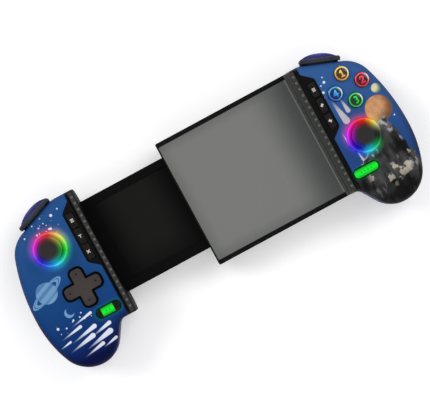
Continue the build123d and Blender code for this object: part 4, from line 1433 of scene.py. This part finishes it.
def dress(node: str, finish: Finish | bpy.types.Material) -> None:
    """Gives a CAD node one finish all over.

    Args:
        node: Name of the CAD node.
        finish: The finish, or the material of one that is already made.
    """
    material = finish.material() if isinstance(finish, Finish) else finish
    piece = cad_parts[node]
    if not piece.material_slots:
        piece.data.materials.append(material)
    for slot in piece.material_slots:
        slot.material = material


def dress_screws(node: str) -> None:
    """Gives a node of screws its steel with a cross recess in each head."""
    dress(node, CrossHead(f"{node}_metal", screw_axes(node)))


def deselect() -> None:
    """Leaves nothing selected, so that an operator acts on its own piece alone."""
    if bpy.context.object and bpy.context.object.mode != "OBJECT":
        bpy.ops.object.mode_set(mode="OBJECT")
    bpy.ops.object.select_all(action="DESELECT")


def place_in_mesh() -> bpy.types.Object:
    """Moves a new piece's place and turn into its mesh, and returns the piece."""
    bpy.ops.object.transform_apply(location=True, rotation=True, scale=True)
    return bpy.context.active_object


def upright_circle(x: float, y: float, z: float, radius: float, points: int) -> bpy.types.Object:
    """Draws the section of a ring that is spun about Z.

    Args:
        x: X of the section's centre.
        y: Y of the section's centre.
        z: Z of the section's centre.
        radius: Radius of the section.
        points: How many points lie round it.

    Returns:
        The section, as a circle that faces along Y.
    """
    deselect()
    bpy.ops.mesh.primitive_circle_add(
        vertices=points, radius=radius / 1000.0, rotation=(math.pi / 2, 0.0, 0.0),
        location=metres(x, y, z),
    )
    return place_in_mesh()


def choose(piece: bpy.types.Object, kind: str, test: Callable[[Vector], bool]) -> None:
    """Opens a piece for editing with only the elements that pass a test selected.

    Args:
        piece: The piece to edit.
        kind: VERT, EDGE or FACE.
        test: Takes an element's middle and says whether it is selected.
    """
    bpy.ops.object.mode_set(mode="EDIT")
    bpy.ops.mesh.select_mode(type=kind)
    bpy.ops.mesh.select_all(action="DESELECT")
    bpy.ops.object.mode_set(mode="OBJECT")
    mesh = piece.data
    if kind == "VERT":
        for vertex in mesh.vertices:
            vertex.select = test(vertex.co * 1000.0)
    elif kind == "EDGE":
        for edge in mesh.edges:
            first, last = (mesh.vertices[index].co for index in edge.vertices)
            edge.select = test((first + last) * 500.0)
    else:
        for face in mesh.polygons:
            face.select = test(face.center * 1000.0)
    bpy.ops.object.mode_set(mode="EDIT")


def close_mesh() -> None:
    """Merges doubled points of the piece being edited and turns its faces outwards."""
    bpy.ops.mesh.select_all(action="SELECT")
    bpy.ops.mesh.remove_doubles(threshold=0.000002)
    bpy.ops.mesh.normals_make_consistent(inside=False)
    bpy.ops.object.mode_set(mode="OBJECT")


def refine(piece: bpy.types.Object, kind: str, **settings: float) -> None:
    """Adds a modifier to a piece and applies it.

    Args:
        piece: The piece, in object mode.
        kind: The modifier, as Blender names it.
        settings: The modifier's own settings.
    """
    modifier = piece.modifiers.new(kind.lower(), kind)
    for name, value in settings.items():
        setattr(modifier, name, value)
    bpy.ops.object.modifier_apply(modifier=modifier.name)


def settle(
    piece: bpy.types.Object, name: str, body: str, material: bpy.types.Material
) -> None:
    """Names, dresses and hangs a finished piece, with its place in its mesh.

    Args:
        piece: The piece, in object mode.
        name: Its name.
        body: The body that it rides on.
        material: Its finish.
    """
    deselect()
    piece.select_set(True)
    bpy.context.view_layer.objects.active = piece
    place_in_mesh()
    bpy.ops.object.shade_smooth_by_angle(angle=math.radians(35.0))
    piece.name = name
    piece.data.name = name
    piece.data.materials.clear()
    piece.data.materials.append(material)
    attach(piece, body)
    log.info("%s modelled", name)


@dataclass
class StickTread:
    """Knurled tread that wraps the edge of a stick's cap."""

    hand: Hand
    x: float
    y: float
    cap_radius: float = 7.8
    cap_low: float = 40.0
    cap_high: float = 43.5
    lift: float = 0.05
    rib_height: float = 0.18
    rib_inset: float = 0.12
    wall: float = 0.12
    ribs: int = 40
    wrap: float = 48.0

    def build(self, finish: bpy.types.Material) -> None:
        """Spins an arc round the cap, raises every other sector as a rib and thickens the skin.

        Args:
            finish: The finish of the cap.
        """
        edge = (self.cap_high - self.cap_low) / 2
        height = (self.cap_high + self.cap_low) / 2
        rim_x = self.x + self.cap_radius - edge
        piece = upright_circle(rim_x, self.y, height, edge + self.lift, 60)
        least = rim_x + edge * math.cos(math.radians(self.wrap))
        choose(piece, "VERT", lambda point: point.x < least)
        bpy.ops.mesh.delete(type="VERT")
        bpy.ops.mesh.select_all(action="SELECT")
        bpy.ops.mesh.spin(
            steps=self.ribs * 2, angle=math.tau, center=metres(self.x, self.y, height), axis=UPWARDS
        )
        close_mesh()
        sector = math.tau / (self.ribs * 2)

        def on_rib(point: Vector) -> bool:
            """Says whether a face lies in a sector that becomes a rib."""
            angle = math.atan2(point.y - self.y, point.x - self.x) % math.tau
            return int(angle / sector) % 2 == 0

        choose(piece, "FACE", on_rib)
        bpy.ops.mesh.inset(thickness=self.rib_inset / 1000, depth=self.rib_height / 1000)
        close_mesh()
        refine(piece, "SOLIDIFY", thickness=self.wall / 1000, offset=-1.0)
        hand = self.hand.value
        settle(piece, f"{hand}_stick_tread", f"{hand}_stick_cap", finish)


@dataclass
class GlowCollar:
    """Sloping inner wall of a light guide, between the lit ring and the stick's dome."""

    hand: Hand
    x: float
    y: float
    mouth: float = 9.1
    throat: float = 7.75
    high: float = 34.3
    low: float = 32.05
    lip: float = 0.35
    steep: float = 0.62
    corner: float = 0.3
    wall: float = 0.25

    def build(self) -> None:
        """Draws a short sleeve, extrudes it down and inwards twice, rounds and thickens it."""
        deselect()
        base = self.high - self.lip
        bpy.ops.mesh.primitive_cylinder_add(
            vertices=96, radius=self.mouth / 1000, depth=self.lip / 1000, end_fill_type="NOTHING",
            location=metres(self.x, self.y, self.high - self.lip / 2),
        )
        piece = place_in_mesh()
        choose(piece, "EDGE", lambda point: point.z < base + 0.01)
        whole = self.throat / self.mouth
        first = (1 + whole) / 2
        centre = metres(self.x, self.y, base)
        for size, share in ((first, self.steep), (whole / first, 1 - self.steep)):
            bpy.ops.mesh.extrude_edges_move()
            bpy.ops.transform.resize(value=(size, size, 1.0), center_override=centre)
            bpy.ops.transform.translate(value=metres(0.0, 0.0, -(base - self.low) * share))
        close_mesh()
        rounding = {"segments": 3, "angle_limit": math.radians(12.0)}
        refine(piece, "BEVEL", width=self.corner / 1000, **rounding)
        refine(piece, "SOLIDIFY", thickness=self.wall / 1000, offset=0.0)
        hand = self.hand.value
        finish = RingCollar(f"{hand}_collar_glow", self.x, self.y).material()
        settle(piece, f"{hand}_glow_collar", f"{hand}_grip", finish)


@dataclass
class FlatCable:
    """Flat cable between the circuit boards, drawn as a fixed zigzag of the folds it makes in the
    bridge as the grips close.
    """

    folds: int = 12
    rise: float = 2.4
    clearance: float = 0.3
    thickness: float = 0.18
    fold_width: float = 0.6
    kept: float = 0.045

    def build(self, finish: bpy.types.Material) -> None:
        """Draws the first panel, extrudes the others up and down in turn and rounds the folds.

        Args:
            finish: The cable's finish.
        """
        low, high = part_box("ribbon_cable")
        width = high.y - low.y
        panel = (high.x - low.x - self.clearance / 1000) / self.folds
        start = Vector((low.x + self.clearance / 1000, (low.y + high.y) / 2, (low.z + high.z) / 2))
        deselect()
        bpy.ops.mesh.primitive_plane_add(size=width, location=start + Vector((width / 2, 0.0, 0.0)))
        piece = place_in_mesh()
        far = (start.x + width) * 1000
        choose(piece, "EDGE", lambda point: point.x > far - 0.01)
        rise = self.rise / 1000
        bpy.ops.transform.translate(value=(panel - width, 0.0, rise))
        for fold in range(1, self.folds):
            step = rise if fold == self.folds - 1 else rise * 2
            bpy.ops.mesh.extrude_edges_move()
            bpy.ops.transform.translate(value=(panel, 0.0, step if fold % 2 == 0 else -step))
        close_mesh()
        rounding = {"segments": 4, "angle_limit": math.radians(12.0)}
        refine(piece, "BEVEL", width=self.fold_width / 1000, **rounding)
        refine(piece, "SOLIDIFY", thickness=self.thickness / 1000, offset=0.0)
        settle(piece, "flat_cable", "right_grip", finish)
        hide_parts("ribbon_cable")
        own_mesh(piece)


@dataclass
class Library:
    """The plain finishes, each made once and shared by the nodes of its slot."""

    made: dict = field(default_factory=dict)

    def plain(self, slot: str) -> bpy.types.Material:
        """Finds the finish of a record slot, which is made when it is first asked for.

        Args:
            slot: Name of the record slot.

        Returns:
            Its material.
        """
        if slot not in self.made:
            self.made[slot] = PLAIN_FINISHES[slot].material()
        return self.made[slot]

    def dress_all(self, slot: str, *nodes: str) -> None:
        """Dresses nodes in the finish of one slot."""
        for node in nodes:
            dress(node, self.plain(slot))


@dataclass
class Grip:
    """One grip with its shells, controls and inner works."""

    hand: Hand
    pill_key: str
    strip: JawRubber
    key_marks: tuple
    mark_shift: float
    library: Library

    def node(self, name: str) -> str:
        """Full name of one of this grip's nodes."""
        return f"{self.hand.value}_{name}"

    def dress_shells(self) -> None:
        """Finishes the printed front and the dotted back."""
        ring, pill = middle(self.node("light_ring")), middle(self.pill_key)
        shell = self.node("front_shell")
        edge = round(min(abs(corner.x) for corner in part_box(shell)) * 1000.0, 2)
        dress(shell, PrintedShell(self.node("print"), *ring, self.hand, edge, pill))
        dress(self.node("back_shell"), BackShell(self.node("back_finish")))

    def dress_stick(self) -> None:
        """Finishes the light ring, the cap and the gimbal below it, and adds tread and collar."""
        stick = middle(self.node("light_ring"))
        dress(self.node("light_ring"), RingLight(self.node("ring_glow"), *stick))
        cap = StickRubber(self.node("cap_rubber"), *stick).material()
        dress(self.node("stick_cap"), cap)
        StickTread(self.hand, *stick).build(cap)
        GlowCollar(self.hand, *stick).build()
        dress(self.node("stick_module"), StickWell(self.node("stick_housing"), *stick))
        self.library.dress_all("module_black", self.node("stick_pivot"))
        self.library.dress_all("nylon_white", self.node("stick_yoke"))

    def dress_keys(self) -> None:
        """Finishes the function keys and their bed."""
        self.library.dress_all("key_black", self.node("key_plate"))
        for name, rows in zip(("upper", "middle", "lower"), self.key_marks):
            node = self.node(f"key_{name}")
            x, y = middle(node)
            dress(node, MarkedKey(f"{node}_finish", x + self.mark_shift, y, rows))

    def dress_rest(self) -> None:
        """Finishes the jaw, the shoulder controls and the inner works."""
        if self.hand is Hand.RIGHT:
            dress(self.node("jaw"), RimmedPlastic("right_jaw_plastic", 70.0, 78.2, 21.4))
        else:
            self.library.dress_all("jaw_black", self.node("jaw"))
        dress(self.node("jaw_pad"), self.strip)
        slots = {
            "trigger": "trigger_indigo", "bumper": "bumper_charcoal", "trigger_pin": "pin_steel",
            "circuit_board": "board_green", "membrane": "membrane_grey",
        }
        for name, slot in slots.items():
            self.library.dress_all(slot, self.node(name))
        dress_screws(self.node("case_screws"))
        dress_screws(self.node("frame_screws"))

    def build(self) -> None:
        """Dresses the whole grip and reports it."""
        self.dress_shells()
        self.dress_stick()
        self.dress_keys()
        self.dress_rest()
        log.info("%s grip dressed", self.hand.value)


@dataclass
class ActionButtons:
    """The four domed buttons of the right grip."""

    bezel_radius: float = 3.85
    bezel_width: float = 0.72
    bezel_height: float = 35.4
    flatness: float = 0.62
    # Each button's node, its lit colour, its painted shade colour and its numeral.
    plan: tuple = (
        ("button_top", tone(238, 208, 98), tone(196, 136, 62), 1),
        ("button_right", tone(238, 74, 96), tone(190, 16, 52), 2),
        ("button_bottom", tone(44, 214, 92), tone(14, 160, 52), 3),
        ("button_left", tone(60, 178, 244), tone(18, 92, 190), 4),
    )

    def bezel(self) -> bpy.types.Object:
        """Spins a flattened round section into a ring about the Z axis.

        Returns:
            The ring, not yet moved or dressed.
        """
        ring = upright_circle(self.bezel_radius, 0.0, self.bezel_height, self.bezel_width / 2, 16)
        bpy.ops.object.mode_set(mode="EDIT")
        bpy.ops.mesh.select_all(action="SELECT")
        bpy.ops.transform.resize(value=(1.0, 1.0, self.flatness))
        bpy.ops.mesh.spin(
            steps=72, angle=math.tau, center=metres(0.0, 0.0, self.bezel_height), axis=UPWARDS
        )
        close_mesh()
        return ring

    def build(self) -> None:
        """Dresses each button in its own colour with its own numeral and sets its ring on it."""
        pattern = self.bezel()
        for node, colour, shade, numeral in self.plan:
            x, y = middle(node)
            dress(node, FaceButton(f"{node}_dome", x, y, colour, shade, numeral))
            ring = pattern.copy()
            ring.data = pattern.data.copy()
            bpy.context.scene.collection.objects.link(ring)
            ring.data.transform(Matrix.Translation(metres(x, y, 0.0)))
            gloss = BezelGloss(f"{node}_bezel_gloss", x, y, colour, shade)
            settle(ring, f"{node}_bezel", node, gloss.material())
        bpy.data.objects.remove(pattern, do_unlink=True)
        log.info("four action buttons dressed")


@dataclass
class Pad:
    """The direction pad of the left grip with its rocking cross."""

    library: Library

    def build(self) -> None:
        """Dresses the cap, its pivot and the bracket."""
        dress("dpad_cap", CrossPad("pad_finish", *middle("dpad_cap")))
        self.library.dress_all("pad_dark", "dpad_pivot", "dpad_bracket")
        log.info("direction pad dressed")


@dataclass
class LitKeys:
    """The two green pill keys, each with its window's width and shift, and its pips."""

    plan: tuple = (("light_key", 8.0, -0.4, 2), ("home_key", 15.4, 0.0, 4))

    def build(self) -> None:
        """Dresses both keys."""
        for node, window, shift, pips in self.plan:
            dress(node, LitKey(f"{node}_glow", *middle(node), window, shift, pips))
        log.info("lit keys dressed")


@dataclass
class Bridge:
    """The telescopic bridge that carries the phone between the grips."""

    library: Library

    def build(self) -> None:
        """Dresses the case, the plate, the slide and what runs inside."""
        dress("bridge_case", RimmedPlastic("bridge_case_plastic", 74.4, 90.0, 21.0))
        self.library.dress_all("case_black", "bridge_back_cover")
        dress("bridge_face_plate", SatinPlate("plate_finish"))
        dress("bridge_slider", SliderTray("slide_tray"))
        self.library.dress_all("nylon_white", "glide_shoes", "spring_spools")
        self.library.dress_all("spring_steel", "spring_strips")
        FlatCable().build(self.library.plain("ribbon_amber"))
        dress_screws("bridge_screws")
        self.library.dress_all("battery_wrap", "battery")
        self.library.dress_all("screw_steel", "usb_port")
        log.info("bridge dressed")


@dataclass
class Studio:
    """Pale floor, soft light and the camera of the photograph."""

    centre: Place = (-0.5, -2.4)
    face_height: float = 34.0
    view_width: float = 258.0
    distance: float = 1000.0
    floor_size: float = 6000.0
    floor_drop: float = 0.2
    sensor_width: float = 36.0
    surround: float = 0.46
    box_size: float = 1000.0
    boxes: tuple = (
        ("key_box", (-1000.0, 1100.0, 1200.0), 15.0),
        ("fill_box", (1200.0, 500.0, 1100.0), 8.0),
        ("low_box", (200.0, -1300.0, 1000.0), 6.0),
    )

    def floor(self) -> None:
        """Lays a wide pale floor just under the grips."""
        place = metres(0.0, 0.0, -self.floor_drop)
        bpy.ops.mesh.primitive_plane_add(size=self.floor_size / 1000, location=place)
        ground = bpy.context.active_object
        ground.name = "floor"
        graph = Graph("floor_paper")
        shade = graph.mix(graph.noise(0.004, 2.0), tone(250, 250, 250), tone(246, 246, 247))
        graph.finish(Base_Color=shade, Roughness=0.9, Emission_Strength=0.26)
        ground.data.materials.append(graph.material)

    def lamp(self, name: str, place: tuple, power: float) -> None:
        """Hangs one square soft box that faces the object.

        Args:
            name: Name of the lamp.
            place: Where it hangs.
            power: Its power, in watts.
        """
        data = bpy.data.lights.new(name, "AREA")
        data.size = self.box_size / 1000
        data.energy = power
        lamp = bpy.data.objects.new(name, data)
        lamp.location = metres(*place)
        lamp.rotation_euler = (-Vector(place)).to_track_quat("-Z", "Y").to_euler()
        bpy.context.scene.collection.objects.link(lamp)

    def light(self) -> None:
        """Sets an even white surround and the soft boxes."""
        world = bpy.data.worlds.new("studio")
        world.use_nodes = True
        background = world.node_tree.nodes["Background"]
        background.inputs["Color"].default_value = (1.0, 1.0, 1.0, 1.0)
        background.inputs["Strength"].default_value = self.surround
        bpy.context.scene.world = world
        for box in self.boxes:
            self.lamp(*box)
        bpy.context.scene.view_settings.view_transform = "Standard"

    def camera(self) -> None:
        """Sets the camera straight above, turned as the photograph is."""
        data = bpy.data.cameras.new("camera")
        data.sensor_width = self.sensor_width
        data.lens = self.sensor_width * self.distance / self.view_width
        data.clip_start = 0.01
        data.clip_end = 20.0
        camera = bpy.data.objects.new("camera", data)
        camera.location = metres(*self.centre, self.face_height + self.distance)
        camera.rotation_euler = (0.0, 0.0, -TURN)
        bpy.context.scene.collection.objects.link(camera)
        bpy.context.scene.camera = camera

    def build(self) -> None:
        """Sets up the whole studio."""
        self.floor()
        self.light()
        self.camera()
        log.info("studio set")


def main() -> None:
    """Builds the classes in order and reports each piece."""
    logging.basicConfig(level=logging.INFO, format="%(name)s: %(message)s")
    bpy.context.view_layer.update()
    bpy.ops.object.select_all(action="DESELECT")
    library = Library()
    bars = ((-0.8, 0.8, 0.8, 0.8), (-0.8, 0.0, 0.8, 0.0), (-0.8, -0.8, 0.8, -0.8))
    post = ((-0.8, 0.6, 0.8, 0.6), (0.0, 0.6, 0.0, -0.9))
    cross = ((-0.8, -0.8, 0.8, 0.8), (-0.8, 0.8, 0.8, -0.8))
    plus = ((-0.9, 0.0, 0.9, 0.0), (0.0, 0.9, 0.0, -0.9))
    rising = ((-0.6, -0.6, 0.6, 0.6),)
    falling = ((-0.6, 0.6, 0.6, -0.6),)
    # The left strip's leg colour is painted shade.
    left_strip = JawRubber("left_jaw_rubber", 71.4, 75.1, tone(54, 54, 53), tone(6, 6, 6))
    right_strip = JawRubber("right_jaw_rubber", 70.0, 80.0, tone(56, 56, 55), tone(80, 81, 80))
    left_marks, right_marks = (bars, post, cross), (bars, plus + rising, plus + falling)
    Grip(Hand.LEFT, "light_key", left_strip, left_marks, 0.2, library).build()
    Grip(Hand.RIGHT, "home_key", right_strip, right_marks, -0.2, library).build()
    Pad(library).build()
    ActionButtons().build()
    LitKeys().build()
    Bridge(library).build()
    Studio().build()


if __name__ == "__main__":
    main()
